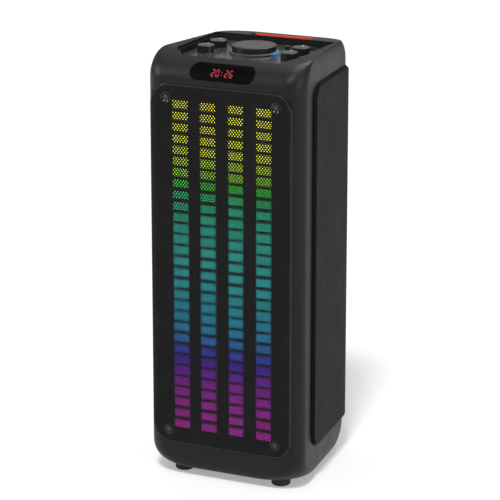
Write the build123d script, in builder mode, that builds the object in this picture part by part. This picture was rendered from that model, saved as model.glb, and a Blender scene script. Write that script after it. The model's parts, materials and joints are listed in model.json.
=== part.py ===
"""Free-standing party speaker: a tall cabinet with a lit front grille, a control deck and a carry bar on top.

Frame: X to the right, Y to the back, Z up, in millimetres. The origin is on the floor, under the middle of the box.
"""
from build123d import *
import math
import os

os.makedirs("parts", exist_ok=True)

# ---------------------------------------------------------------- cabinet
body_width = 294.0  # flank to flank at the front plane, before the corners are rounded
body_depth = 280.0
total_height = 740.0
foot_height = 15.0
flank_taper = 6.5  # degrees that each flank leans in towards the back
front_corner = 34.0
rear_corner = 46.0
base_rise = 43.0  # height of the rounding along the bottom edges
base_side = 4.5  # how far that rounding goes in at the flanks
base_back = 45.0  # at the back
base_front = 13.0  # and at the front
base_corner = 80.0  # plan radius of the front corners at the very bottom
crown_depth = 70.0  # the elliptical rounding over the top of the front
crown_rise = 45.0
crown_tightening = 0.8  # share of the front corner radius lost by the top of the crown
shoulder_rise = 34.0  # the steep rounding under the top rails
shoulder_front = 1.3  # how far it goes in where the rails start
shoulder_slope = 0.0575  # and how much more per millimetre towards the back
top_corner = 64.0  # plan radius of the rear corners at the very top
rim_drop = 7.0  # the rear rim is this much lower than the rails
rim_run = 65.0
wall = 4.0
front_wall = 8.0
fit_gap = 0.2  # between pieces that are fixed together
move_gap = 0.4  # between pieces that move past one another
running_gap = 0.05  # radial, of a shaft in its bush
seam_depth = 60.0  # the front shell meets the rear shell this far behind the front plane
seam_gap = 0.3
tongue_length = 14.0
tongue_wall = 3.0

front_plane = -body_depth / 2
rear_plane = body_depth / 2
seam_y = front_plane + seam_depth
crown_base = total_height - crown_rise
rail_front = front_plane + crown_depth
bar_bottom = crown_base

# ---------------------------------------------------------------- front
grille_width = 260.0
grille_height = 632.0
grille_corner = 36.0
grille_sheet = 1.2
grille_middle = 376.0
grille_inset = 0.3  # behind the front plane
grille_ledge = 14.0
grille_screw_x = 100.5
grille_screw_rise = 292.0  # above and below the middle of the grille
dimple_radius = 8.0
dimple_depth = 3.0
window_width = 118.0
window_height = 26.0
window_middle = 715.0
window_skin = 3.0
columns = 4
rows = 30
column_pitch = 51.0
row_pitch = 19.32
tile_width = 28.0
tile_height = 14.9
tile_thickness = 3.0
tile_depth = 5.5  # tile face behind the front plane
strip_thickness = 1.6
carrier_thickness = 3.0

# ---------------------------------------------------------------- acoustics
baffle_thickness = 12.0
baffle_depth = 28.0  # baffle face behind the front plane
lower_woofer_z = 198.0
upper_woofer_z = 418.0
woofer_radius = 105.0
cone_radius = 80.0
coil_radius = 19.0
coil_wall = 0.7
coil_gap = 0.8
magnet_radius = 57.0
horn_x = -58.0
horn_z = 590.0
horn_side = 104.0
port_x = 62.0
port_radius = 30.0
port_wall = 3.0
port_length = 110.0

# ---------------------------------------------------------------- top deck
deck_half = 112.0
deck_front = 35.0  # behind the front plane
deck_rear_y = 78.0
deck_chamfer = 32.0
deck_floor = 722.0
deck_sheet = 3.0
deck_seat = 4.0  # deck moulding under its floor sheet
plate_top = 728.0
plate_margin = 5.0
knob_radius = 14.5
knob_bottom = 728.6
knob_top = 740.5
knob_x = 77.0
knob_front_y = -35.0
knob_rear_y = 13.0
shaft_radius = 3.0
jog_y = -8.0
jog_radius = 38.0
jog_top = 742.0
jog_bottom = 730.0
ring_radius = 42.5
ring_top = 732.0
button_x = 49.0
button_y = 18.0
button_radius = 4.25
button_top = 739.0
button_travel = 1.2
usb_x = -57.0
usb_y = 56.0
jack_x = 72.0
jack_y = 58.0
jack_bore = 3.3
board_z = 706.0
board_thickness = 1.6
rail_screw_x = 119.5
rail_screw_y = 7.0

# ---------------------------------------------------------------- carry bar and hand slot
slot_half = 55.0
slot_front_y = 84.0
bar_depth = 24.0
well_wall = 3.5
well_bottom = 640.0
grip_sheet = 2.6

# ---------------------------------------------------------------- flank panels, feet, fasteners
panel_raise = 6.0
panel_front = 62.0  # behind the front plane
panel_rear_y = 128.0
panel_bottom = 62.0
panel_top = 697.0
panel_corner = 30.0
panel_bevel = 4.4
foot_radius = 16.5
foot_x = 92.0
foot_rear_x = 68.0
foot_front_y = -95.0
foot_rear_y = 76.0
foot_recess = 2.5
screw_radius = 1.75
screw_head = 3.6
pilot_gap = 0.1

# ---------------------------------------------------------------- rear connections and electronics
socket_width = 112.0
socket_bottom = 112.0
socket_top = 248.0
socket_sheet = 3.0
socket_lap = 12.0
rear_jack_z = (222.0, 194.0)
rear_jack_x = -28.0
inlet_x = 22.0
inlet_z = 140.0
inlet_width = 24.0
inlet_height = 15.0
rocker_x = 22.0
rocker_z = 205.0
rocker_half = 6.0
rocker_height = 22.0
housing_width = 19.0
housing_height = 30.0
supply_z = 370.0
supply_post = 12.0
battery_y = 38.0
battery_width = 120.0
battery_depth = 66.0
battery_height = 62.0

taper_slope = math.tan(math.radians(flank_taper))
taper_stretch = 1 / math.cos(math.radians(flank_taper))
socket_outer_y = rear_plane - wall - fit_gap
socket_inner_y = socket_outer_y - socket_sheet
rear_jack_spots = [(rear_jack_x, z) for z in rear_jack_z]
supply_spots = [(sx * 48, supply_z + sz * 42) for sx in (-1, 1) for sz in (-1, 1)]


# ---------------------------------------------------------------- outlines
def bow(share):
    """How far a quarter ellipse has turned in, 0 to 1, when it has gone share of its height."""
    share = max(0.0, min(1.0, share))
    return 1 - math.sqrt(1 - share**2)


def flank_half(y, inset=0.0):
    """Half width of the straight flank at a depth."""
    return body_width / 2 - (y - front_plane) * taper_slope - inset * taper_stretch


def round_trapezium(front_y, rear_y, front_half, rear_half, front_round, rear_round):
    """A plan outline that narrows to the back and has rounded corners."""
    with BuildSketch() as outline:
        with BuildLine():
            Polyline(
                (-front_half, front_y),
                (front_half, front_y),
                (rear_half, rear_y),
                (-rear_half, rear_y),
                close=True,
            )
        make_face()
        fillet(outline.vertices().sort_by(Axis.Y)[:2], front_round)
        fillet(outline.vertices().sort_by(Axis.Y)[-2:], rear_round)
    return outline.sketch


def level_outline(z, inset=0.0):
    """Plan outline of the cabinet at one height: rounded in at the base, over the crown and at the shoulders."""
    base = bow((foot_height + base_rise - z) / (base_rise - inset))
    crown = bow((z - crown_base) / crown_rise)
    shoulder = bow((z - total_height + shoulder_rise) / shoulder_rise)
    front_y = front_plane + inset + base * (base_front - inset) + crown * crown_depth
    rear_y = rear_plane - inset - base * (base_back - inset)

    def half(y):
        turned_in = shoulder * (shoulder_front + (y - rail_front) * shoulder_slope)
        return flank_half(y, inset) - base * base_side - turned_in

    front_round = (front_corner - inset) * (1 - crown_tightening * crown) + base * (base_corner - front_corner)
    rear_round = rear_corner - inset + shoulder * (top_corner - rear_corner)
    outline = round_trapezium(front_y, rear_y, half(front_y), half(rear_y), front_round, rear_round)
    return Pos(0, 0, z) * outline


def rounding_levels(steps, start, rise):
    """Heights that divide a quarter-round evenly by angle, from its straight end to its tip."""
    return [start + rise * math.sin(math.radians(90 * i / steps)) for i in range(1, steps + 1)]


def deck_outline(offset_in=0.0):
    """Plan of the deck opening: a rectangle whose front corners are cut across."""
    half = deck_half - offset_in
    front_y = front_plane + deck_front + offset_in
    rear_y = deck_rear_y - offset_in
    with BuildSketch() as outline:
        with BuildLine():
            Polyline(
                (-half, rear_y),
                (-half, front_y + deck_chamfer),
                (-half + deck_chamfer * 0.6, front_y),
                (half - deck_chamfer * 0.6, front_y),
                (half, front_y + deck_chamfer),
                (half, rear_y),
                close=True,
            )
        make_face()
        fillet(outline.vertices(), 3)
    return outline.sketch


def column_x(column):
    return (column - (columns - 1) / 2) * column_pitch


def row_z(row):
    return grille_middle + ((rows - 1) / 2 - row) * row_pitch


# ---------------------------------------------------------------- shapes used by several pieces
def discs(plane, spots, radius, length, mode=Mode.ADD):
    """Round bars or holes that stand on a plane."""
    with BuildSketch(plane) as profile:
        with Locations(*spots):
            Circle(radius)
    extrude(profile.sketch, amount=length, mode=mode)


def blocks(plane, spots, width, height, length, mode=Mode.ADD, corner=0.0):
    """Square bars or holes that stand on a plane."""
    with BuildSketch(plane) as profile:
        with Locations(*spots):
            if corner:
                RectangleRounded(width, height, corner)
            else:
                Rectangle(width, height)
    extrude(profile.sketch, amount=length, mode=mode)


def turned(points, z, x=0.0, mode=Mode.ADD):
    """A ring turned about a front-to-back axis, from points given as depth and radius."""
    with BuildSketch(Plane.YZ.offset(x)) as profile:
        with BuildLine():
            Polyline(*[(y, z + radius) for y, radius in points], close=True)
        make_face()
    revolve(profile.sketch, axis=Axis((x, 0, z), (0, 1, 0)), mode=mode)


def facing(y):
    """Upright plane at a depth, looking to the front."""
    return Plane.XZ.offset(-y)


def level(z):
    return Plane.XY.offset(z)


def finish(piece, name):
    """Name a finished piece and write its file."""
    piece.part.label = name
    export_step(piece.part, f"parts/{name}.step")


# ---------------------------------------------------------------- cabinet body, as a solid and as a hollow
base_top = foot_height + base_rise
with BuildPart() as body_form:
    for z in reversed([base_top - rise for rise in rounding_levels(8, 0, base_rise)]):
        add(level_outline(z))
    add(level_outline(base_top))
    for z in rounding_levels(9, crown_base, crown_rise):
        add(level_outline(min(z, total_height)))
    loft(ruled=True)
    with BuildSketch(Plane.YZ.offset(-body_width)):
        with BuildLine():
            Polyline(
                (rear_plane - rim_run, total_height),
                (rear_plane + wall, total_height - rim_drop * (rim_run + wall) / rim_run),
                (rear_plane + wall, total_height + wall),
                (rear_plane - rim_run, total_height + wall),
                close=True,
            )
        make_face()
    extrude(amount=2 * body_width, mode=Mode.SUBTRACT)

with BuildPart() as cavity_form:
    for z in reversed([base_top - rise for rise in rounding_levels(4, 0, base_rise - wall)]):
        add(level_outline(z, wall))
    add(level_outline(base_top, wall))
    add(level_outline(crown_base, wall))
    loft(ruled=True)
    blocks(level(foot_height), [(0, front_plane)], 2 * body_width, 2 * front_wall, total_height, Mode.SUBTRACT)


def tongue_ring(outer, inner, front_y, rear_y):
    """A band that follows the inside of the cabinet wall, between two depths."""
    with BuildPart() as ring:
        for z in reversed([base_top - rise for rise in rounding_levels(4, 0, base_rise - outer)]):
            add(level_outline(z, outer))
        add(level_outline(base_top, outer))
        add(level_outline(crown_base - fit_gap, outer))
        loft(ruled=True)
        split(bisect_by=facing(rear_y), keep=Keep.TOP)
        split(bisect_by=facing(front_y), keep=Keep.BOTTOM)
    with BuildPart() as core:
        for z in reversed([base_top - rise for rise in rounding_levels(4, 0, base_rise - inner)]):
            add(level_outline(z, inner))
        add(level_outline(base_top, inner))
        add(level_outline(crown_base + wall, inner))
        loft(ruled=True)
    return ring.part - core.part


with BuildPart() as shell_form:
    add(body_form.part)
    add(cavity_form.part, mode=Mode.SUBTRACT)
    # the deck drops into this opening and rests on the ledge round its lower part
    extrude(Pos(0, 0, deck_floor - deck_seat) * deck_outline(), amount=total_height, mode=Mode.SUBTRACT)
    extrude(Pos(0, 0, crown_base - wall) * deck_outline(10), amount=total_height, mode=Mode.SUBTRACT)

# ---------------------------------------------------------------- front shell
foot_spots = [(side * x, y) for side in (-1, 1) for x, y in ((foot_x, foot_front_y), (foot_rear_x, foot_rear_y))]
deck_spots = [(sx * (deck_half - 5), y) for sx in (-1, 1) for y in (-55.0, deck_rear_y - 12)]
grille_floor_y = front_plane + grille_inset + grille_sheet + fit_gap
tongue_z = (130.0, 376.0, 622.0)
tongue_screw_y = seam_y + tongue_length / 2 + 1
tongue_spots = [(tongue_screw_y, z) for z in tongue_z]
screw_head_x = flank_half(tongue_screw_y) - 2.2
baffle_y = front_plane + baffle_depth
front_inner_y = front_plane + front_wall
boss_x = 124.5
boss_z = (92.0, 282.0, 470.0, 660.0)
boss_spots = [(side * boss_x, z) for side in (-1, 1) for z in boss_z]
grille_screw_spots = [(sx * grille_screw_x, grille_middle + sz * grille_screw_rise) for sx in (-1, 1) for sz in (-1, 1)]
ear_radius = dimple_radius + 2
ear_reach = grille_width / 2 - grille_screw_x - 2
ear_depth = front_wall - grille_inset - dimple_depth - 0.1

with BuildPart() as front_shell:
    add(shell_form.part)
    split(bisect_by=facing(seam_y), keep=Keep.TOP)
    blocks(facing(grille_floor_y), [(0, grille_middle)], grille_width + 2 * fit_gap, grille_height + 2 * fit_gap,
           front_wall, Mode.SUBTRACT, grille_corner)
    blocks(facing(rear_plane), [(0, grille_middle)], grille_width - 2 * grille_ledge,
           grille_height - 2 * grille_ledge, 2 * body_depth, Mode.SUBTRACT, grille_corner - grille_ledge)
    # pill-shaped hole for the display lens
    blocks(facing(rail_front), [(0, window_middle)], window_width, window_height, body_depth, Mode.SUBTRACT,
           window_height / 2 - 0.01)
    # ears that take the grille screws
    discs(facing(front_inner_y), grille_screw_spots, ear_radius, ear_depth)
    blocks(facing(front_inner_y), [(math.copysign(grille_screw_x + ear_reach / 2, x), z) for x, z in grille_screw_spots],
           ear_reach, 2 * ear_radius, ear_depth)
    discs(facing(rear_plane), grille_screw_spots, screw_radius + pilot_gap, body_depth, Mode.SUBTRACT)
    # holes in the deck ledge
    discs(level(crown_base), deck_spots, screw_radius + pilot_gap, deck_floor - crown_base, Mode.SUBTRACT)
    # posts that carry the baffle
    discs(facing(baffle_y - fit_gap), boss_spots, 5, baffle_depth - front_wall - fit_gap)
    discs(facing(baffle_y), boss_spots, screw_radius + pilot_gap, baffle_depth - front_wall, Mode.SUBTRACT)
    # tongue that slides into the rear shell
    add(tongue_ring(wall + fit_gap, wall + fit_gap + tongue_wall, seam_y - 1, seam_y + tongue_length))
    add(tongue_ring(wall - 0.5, wall + fit_gap + tongue_wall, seam_y - tongue_length, seam_y))
    for side in (-1, 1):
        discs(Plane.YZ, tongue_spots, screw_radius + pilot_gap, side * body_width, Mode.SUBTRACT)
    discs(level(foot_height), [(x, y) for x, y in foot_spots if y < seam_y], screw_radius + pilot_gap, 2 * wall,
          Mode.SUBTRACT)
    discs(level(0), [(x, y) for x, y in foot_spots if y < seam_y], foot_radius + fit_gap, foot_height + foot_recess,
          Mode.SUBTRACT)
finish(front_shell, "front_shell")

# ---------------------------------------------------------------- rear shell
slot_rear_y = rear_plane - bar_depth
peg_spots = [(y, z) for y in (-55.0, 70.0) for z in (168.0, 600.0)]
peg_radius = 3.0
socket_middle = (socket_bottom + socket_top) / 2
socket_height = socket_top - socket_bottom
socket_screw_spots = [(sx * (socket_width / 2 + socket_lap / 2), socket_middle + sz * (socket_height / 2 + socket_lap / 2))
                      for sx in (-1, 1) for sz in (-1, 1)]

with BuildPart() as rear_shell:
    add(shell_form.part)
    split(bisect_by=facing(seam_y + seam_gap), keep=Keep.BOTTOM)
    # hand slot: down from the top in front of the bar, and out at the back under it
    blocks(level(bar_bottom - 20), [(0, (slot_front_y + slot_rear_y) / 2)], 2 * slot_half, slot_rear_y - slot_front_y,
           total_height, Mode.SUBTRACT)
    blocks(facing(rear_plane + wall), [(0, (well_bottom + well_wall + bar_bottom) / 2)], 2 * slot_half,
           bar_bottom - well_bottom - well_wall, 2 * wall + 1, Mode.SUBTRACT)
    # opening for the connection panel, with its screw holes
    blocks(facing(rear_plane + wall), [(0, socket_middle)], socket_width, socket_height, 3 * wall, Mode.SUBTRACT, 6)
    discs(facing(rear_plane + wall), socket_screw_spots, screw_radius + pilot_gap, 3 * wall, Mode.SUBTRACT)
    discs(Plane.YZ.offset(-body_width), peg_spots, peg_radius + fit_gap, 2 * body_width, Mode.SUBTRACT)
    for side in (-1, 1):
        # the screw heads sink into the wall, under the flank panel
        discs(Plane.YZ.offset(side * screw_head_x), tongue_spots, screw_head + fit_gap, side * wall * 4, Mode.SUBTRACT)
        discs(Plane.YZ, tongue_spots, screw_radius + pilot_gap, side * (screw_head_x + 0.1), Mode.SUBTRACT)
    discs(level(crown_base), deck_spots, screw_radius + pilot_gap, deck_floor - crown_base, Mode.SUBTRACT)
    discs(level(foot_height), [(x, y) for x, y in foot_spots if y > seam_y], screw_radius + pilot_gap, 2 * wall,
          Mode.SUBTRACT)
    discs(level(0), [(x, y) for x, y in foot_spots if y > seam_y], foot_radius + fit_gap, foot_height + foot_recess,
          Mode.SUBTRACT)
    discs(level(deck_floor), [(side * rail_screw_x, rail_screw_y) for side in (-1, 1)], 2.2, total_height, Mode.SUBTRACT)
    discs(level(total_height - 4), [(side * rail_screw_x, rail_screw_y) for side in (-1, 1)], 3.4, total_height,
          Mode.SUBTRACT)
    # posts for the power supply
    discs(facing(rear_plane - wall + 0.5), supply_spots, 4, supply_post + 0.5)
finish(rear_shell, "rear_shell")

# ---------------------------------------------------------------- flank panels
panel_front_y = front_plane + panel_front
for side, side_name in ((-1, "left"), (1, "right")):
    with BuildPart() as side_panel:
        with BuildSketch(level(panel_bottom)):
            add(round_trapezium(front_plane, rear_plane, body_width / 2 + panel_raise,
                                flank_half(rear_plane) + panel_raise, front_corner, rear_corner))
        extrude(amount=panel_top - panel_bottom)
        with BuildSketch(level(panel_bottom - 1)):
            add(round_trapezium(front_plane, rear_plane, body_width / 2 + fit_gap, flank_half(rear_plane) + fit_gap,
                                front_corner, rear_corner))
        extrude(amount=total_height, mode=Mode.SUBTRACT)
        blocks(Plane.YZ, [((panel_front_y + panel_rear_y) / 2, (panel_bottom + panel_top) / 2)],
               panel_rear_y - panel_front_y, panel_top - panel_bottom, side * body_width, Mode.INTERSECT, panel_corner)
        outside = [face for face in side_panel.faces() if side * face.normal_at().X > 0.5 and face.area > 2000]
        rims = [edge for face in outside for edge in face.edges()]
        outline = [edge for edge in rims if sum(edge.is_same(other) for other in rims) == 1]
        chamfer(outline, panel_bevel)
        # pegs that push through the cabinet wall
        for y, z in peg_spots:
            with BuildSketch(Plane.YZ.offset(side * (flank_half(y) - wall - 2))) as peg:
                with Locations((y, z)):
                    Circle(peg_radius)
            extrude(peg.sketch, amount=side * (wall + 4))
    finish(side_panel, f"side_panel_{side_name}")

# ---------------------------------------------------------------- feet
with BuildPart() as feet:
    discs(level(0), foot_spots, foot_radius, foot_height - fit_gap)
    chamfer(feet.edges().group_by(Axis.Z)[0], 2)
    discs(level(0), foot_spots, screw_head + 1, foot_height - 4, Mode.SUBTRACT)
    discs(level(0), foot_spots, screw_radius + pilot_gap, foot_height, Mode.SUBTRACT)
finish(feet, "feet")

# ---------------------------------------------------------------- grille and its screws
with BuildPart() as front_grille:
    blocks(facing(front_plane + grille_inset + grille_sheet), [(0, grille_middle)], grille_width, grille_height,
           grille_sheet, corner=grille_corner)
    # dimples pressed in round the screws
    discs(facing(front_plane + grille_inset), grille_screw_spots, dimple_radius - grille_sheet, -dimple_depth,
          Mode.SUBTRACT)
    for x, z in grille_screw_spots:
        with Locations(Pos(x, front_plane + grille_inset, z) * Rot(90, 0, 0)):
            Cone(dimple_radius - 2, dimple_radius, dimple_depth, align=(Align.CENTER, Align.CENTER, Align.MAX))
            Cone(dimple_radius - 2 - grille_sheet, dimple_radius - grille_sheet, dimple_depth - grille_sheet,
                 align=(Align.CENTER, Align.CENTER, Align.MAX), mode=Mode.SUBTRACT)
    discs(facing(rear_plane), grille_screw_spots, screw_radius + pilot_gap, body_depth, Mode.SUBTRACT)
finish(front_grille, "front_grille")

dimple_floor_y = front_plane + grille_inset + dimple_depth - grille_sheet
with BuildPart() as grille_screws:
    discs(facing(dimple_floor_y - 0.1), grille_screw_spots, screw_head, 1.4)
    discs(facing(front_inner_y - 0.2), grille_screw_spots, screw_radius, front_inner_y - 0.1 - dimple_floor_y)
finish(grille_screws, "grille_screws")

# ---------------------------------------------------------------- display
with BuildPart() as display_window:
    add(body_form.part)
    blocks(facing(rail_front), [(0, window_middle)], window_width - 2 * fit_gap, window_height - 2 * fit_gap,
           body_depth, Mode.INTERSECT, window_height / 2 - fit_gap - 0.01)
    add(Pos(0, window_skin, -0.5) * body_form.part, mode=Mode.SUBTRACT)
finish(display_window, "display_window")

display_board_y = front_inner_y + 20
with BuildPart() as display_module:
    blocks(facing(display_board_y), [(0, window_middle)], window_width - 26, window_height - 0.6, strip_thickness)
    blocks(facing(display_board_y - strip_thickness), [(0, window_middle - 3)], 52, 15, 8)
finish(display_module, "display_module")

# ---------------------------------------------------------------- light columns and their carrier
tile_y = front_plane + tile_depth
strip_y = tile_y + tile_thickness + 0.1
carrier_y = strip_y + strip_thickness + 0.1
column_height = rows * row_pitch
carrier_lap = 2.5
carrier_width = grille_width - 2 * grille_ledge + 2 * carrier_lap
carrier_height = grille_height - 2 * grille_ledge + 2 * carrier_lap
with BuildPart() as led_carrier:
    blocks(facing(carrier_y + carrier_thickness), [(0, grille_middle)], carrier_width, carrier_height,
           carrier_thickness, corner=grille_corner - grille_ledge)
    bay_height = column_height / 4
    bay_gap = column_pitch - tile_width - 2
    bays = [((bay - 2) * column_pitch, grille_middle + (part - 1.5) * bay_height) for bay in range(1, 4) for part in range(4)]
    blocks(facing(carrier_y + carrier_thickness), bays, bay_gap, bay_height - 8, carrier_thickness, Mode.SUBTRACT, 3)
    for side in (-1, 1):
        edge_x = side * (columns * column_pitch / 2 + 1)
        blocks(facing(carrier_y + carrier_thickness),
               [(edge_x, grille_middle + (part - 1.5) * bay_height) for part in range(4)], 18, bay_height - 8,
               carrier_thickness, Mode.SUBTRACT, 3)
    # rim that stands on the inside of the front wall
    blocks(facing(carrier_y + 0.05), [(0, grille_middle)], carrier_width, carrier_height,
           carrier_y - front_inner_y - fit_gap + 0.05, corner=grille_corner - grille_ledge)
    blocks(facing(carrier_y), [(0, grille_middle)], carrier_width - 14, carrier_height - 14, 20, Mode.SUBTRACT,
           grille_corner - grille_ledge - 6)
finish(led_carrier, "led_carrier")

with BuildPart() as led_strips:
    spots = [(column_x(column), grille_middle) for column in range(columns)]
    blocks(facing(strip_y + strip_thickness), spots, tile_width, column_height, strip_thickness)
finish(led_strips, "led_strips")

for column in range(columns):
    with BuildPart() as led_tiles:
        spots = [(column_x(column), row_z(row)) for row in range(rows)]
        blocks(facing(tile_y + tile_thickness), spots, tile_width, tile_height, tile_thickness)
    finish(led_tiles, f"led_tiles_{column + 1}")

# ---------------------------------------------------------------- baffle
woofers = {"upper": upper_woofer_z, "lower": lower_woofer_z}
baffle_bottom = foot_height + wall + 12
baffle_top = crown_base - 14
baffle_half = body_width / 2 - wall - 7.5
with BuildPart() as baffle_board:
    blocks(facing(baffle_y + baffle_thickness), [(0, (baffle_bottom + baffle_top) / 2)], 2 * baffle_half,
           baffle_top - baffle_bottom, baffle_thickness, corner=28)
    discs(facing(baffle_y + baffle_thickness), [(0, z) for z in woofers.values()], woofer_radius - 12,
          baffle_thickness, Mode.SUBTRACT)
    discs(facing(baffle_y + baffle_thickness), [(port_x, horn_z)], port_radius + port_wall + fit_gap,
          baffle_thickness, Mode.SUBTRACT)
    blocks(facing(baffle_y + baffle_thickness), [(horn_x, horn_z)], horn_side - 16, horn_side - 16,
           baffle_thickness, Mode.SUBTRACT, 8)
    discs(facing(rear_plane), boss_spots, screw_radius + pilot_gap, body_depth, Mode.SUBTRACT)
finish(baffle_board, "baffle_board")

# ---------------------------------------------------------------- woofers
frame_flange = 4.0
frame_y = baffle_y - 0.1
magnet_y = frame_y + 60
magnet_depth = 24.0
coil_mid = coil_radius
pole_radius = coil_mid - coil_wall - coil_gap
plate_bore = coil_mid + coil_wall + coil_gap
coil_end_y = magnet_y + 12
cap_y = frame_y + 27
with BuildPart() as woofer_frames:
    rim = woofer_radius
    throat = cone_radius + 7.5
    for z in woofers.values():
        turned([(frame_y - frame_flange, rim), (frame_y, rim), (frame_y, rim - 13), (frame_y + 34, 84),
                (magnet_y - 0.2, 56), (magnet_y - 0.2, plate_bore + 6), (magnet_y - 3, plate_bore + 6),
                (magnet_y - 3, 53), (frame_y + 32, 81), (frame_y - 1, rim - 16), (frame_y - 1, throat),
                (frame_y - frame_flange, throat)], z)
        # windows between the arms of the basket
        with Locations(Location((0, frame_y + 30, z), (90, 0, 0))):
            with PolarLocations(72, 6):
                Box(34, 26, 36, mode=Mode.SUBTRACT)
finish(woofer_frames, "woofer_frames")

with BuildPart() as woofer_magnets:
    for z in woofers.values():
        turned([(magnet_y + magnet_depth, 0), (magnet_y - 6, 0), (magnet_y - 6, pole_radius),
                (magnet_y + magnet_depth - 5, pole_radius), (magnet_y + magnet_depth - 5, plate_bore), (magnet_y, plate_bore),
                (magnet_y, magnet_radius - 6), (magnet_y + 5, magnet_radius - 6), (magnet_y + 5, magnet_radius),
                (magnet_y + magnet_depth, magnet_radius)], z)
finish(woofer_magnets, "woofer_magnets")

for woofer, z in woofers.items():
    with BuildPart() as woofer_cone:
        turned([(frame_y - 2, cone_radius), (frame_y, cone_radius), (frame_y + 43, coil_mid + coil_wall),
                (coil_end_y, coil_mid + coil_wall), (coil_end_y, coil_mid - coil_wall),
                (frame_y + 38, coil_mid - coil_wall), (frame_y + 38, 0), (cap_y, 0), (cap_y + 1.4, 8), (cap_y + 4.4, 17),
                (cap_y + 9, 27), (frame_y + 0.5, cone_radius - 3)], z)
    finish(woofer_cone, f"{woofer}_woofer_cone")
    with BuildPart() as woofer_surround:
        turned([(frame_y - 2, cone_radius + 0.2), (frame_y - 6, cone_radius + 0.8), (frame_y - 8.6, cone_radius + 2.6),
                (frame_y - 9.6, cone_radius + 5.2), (frame_y - 8.6, cone_radius + 7.8), (frame_y - 6, cone_radius + 9.6),
                (frame_y - 5.4, cone_radius + 14), (frame_y - 4.1, cone_radius + 14), (frame_y - 4.1, cone_radius + 8.4),
                (frame_y - 7, cone_radius + 7.2), (frame_y - 8.2, cone_radius + 5.2), (frame_y - 7, cone_radius + 3),
                (frame_y - 0.8, cone_radius + 1.6), (frame_y - 0.8, cone_radius + 0.2)], z)
    finish(woofer_surround, f"{woofer}_woofer_surround")

# ---------------------------------------------------------------- horn tweeter and bass port
with BuildPart() as tweeter_horn:
    blocks(facing(frame_y), [(horn_x, horn_z)], horn_side, horn_side, frame_flange, corner=10)
    turned([(frame_y - 1, 0), (frame_y - 1, 43), (frame_y + 20, 26), (frame_y + 44, 16), (frame_y + 44, 0)], horn_z, horn_x)
    turned([(frame_y - frame_flange - 1, 0), (frame_y - frame_flange - 1, 42), (frame_y + 18, 22), (frame_y + 45, 12.5),
            (frame_y + 45, 0)], horn_z, horn_x, Mode.SUBTRACT)
finish(tweeter_horn, "tweeter_horn")

with BuildPart() as tweeter_driver:
    turned([(frame_y + 44.1, 0), (frame_y + 44.1, 34), (frame_y + 70, 34), (frame_y + 74, 30), (frame_y + 74, 0)],
           horn_z, horn_x)
finish(tweeter_driver, "tweeter_driver")

with BuildPart() as port_tube:
    outer = port_radius + port_wall
    turned([(frame_y - 4, port_radius + 4), (frame_y - 4, outer + 6), (frame_y, outer + 6), (frame_y, outer),
            (frame_y + port_length, outer), (frame_y + port_length, port_radius), (frame_y + 6, port_radius)],
           horn_z, port_x)
finish(port_tube, "port_tube")

# ---------------------------------------------------------------- top deck and control plate
knobs = {"bass": (-knob_x, knob_front_y), "treble": (knob_x, knob_front_y),
         "echo": (-knob_x, knob_rear_y), "mic": (knob_x, knob_rear_y)}
bush_radius = 4.6
plate_sheet = plate_top - deck_floor - deck_sheet - 0.1
usb_width = 15.0
usb_height = 8.0
jack_radius = 8.0


def control_holes(gap):
    """Openings for the controls, through whatever sheet is being made."""
    discs(level(0), list(knobs.values()), bush_radius + gap, total_height + 20, Mode.SUBTRACT)
    discs(level(0), [(0, jog_y)], bush_radius + gap, total_height + 20, Mode.SUBTRACT)
    discs(level(0), [(button_x, button_y)], button_radius + move_gap, total_height + 20, Mode.SUBTRACT)
    blocks(level(0), [(usb_x, usb_y)], usb_width + 2 * gap, usb_height + 2 * gap, total_height + 20, Mode.SUBTRACT)
    discs(level(0), [(jack_x, jack_y)], jack_radius + gap, total_height + 20, Mode.SUBTRACT)


with BuildPart() as top_deck:
    extrude(Pos(0, 0, deck_floor - deck_seat + fit_gap) * deck_outline(fit_gap), amount=total_height - deck_floor - 1)
    extrude(Pos(0, 0, deck_floor + deck_sheet) * deck_outline(3), amount=total_height, mode=Mode.SUBTRACT)
    extrude(Pos(0, 0, 0) * deck_outline(10 + fit_gap), amount=deck_floor, mode=Mode.SUBTRACT)
    # the rim follows the crown, just under it
    add(Pos(0, 0, -1.0) * body_form.part, mode=Mode.INTERSECT)
    discs(level(deck_floor - deck_seat), deck_spots, screw_radius + pilot_gap, 10, Mode.SUBTRACT)
    discs(level(deck_floor + deck_sheet - 2.1), deck_spots, screw_head + fit_gap, 10, Mode.SUBTRACT)
    control_holes(fit_gap)
finish(top_deck, "top_deck")

with BuildPart() as control_plate:
    extrude(Pos(0, 0, plate_top - plate_sheet) * deck_outline(plate_margin), amount=plate_sheet)
    chamfer(control_plate.edges().group_by(Axis.Z)[-1], 1)
    control_holes(fit_gap)
finish(control_plate, "control_plate")

# ---------------------------------------------------------------- rotary controls
bush_top = plate_top - 0.6
pot_height = 8.0
pot_top = board_z + board_thickness + 0.1 + pot_height
for knob, spot in knobs.items():
    with BuildPart() as rotary_knob:
        discs(level(knob_bottom), [spot], knob_radius, knob_top - knob_bottom)
        chamfer(rotary_knob.edges().group_by(Axis.Z)[-1], 1)
        discs(level(knob_bottom), [spot], shaft_radius + 0.02, knob_top - knob_bottom - 3, Mode.SUBTRACT)
        with Locations((spot[0], spot[1], knob_bottom)):
            with PolarLocations(knob_radius, 30):
                Cylinder(0.5, 2 * (knob_top - knob_bottom - 3), mode=Mode.SUBTRACT)
    finish(rotary_knob, f"{knob}_knob")
    with BuildPart() as knob_shaft:
        discs(level(board_z + board_thickness + 3), [spot], shaft_radius, knob_top - 3.2 - board_z - board_thickness - 3)
    finish(knob_shaft, f"{knob}_shaft")

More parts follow.
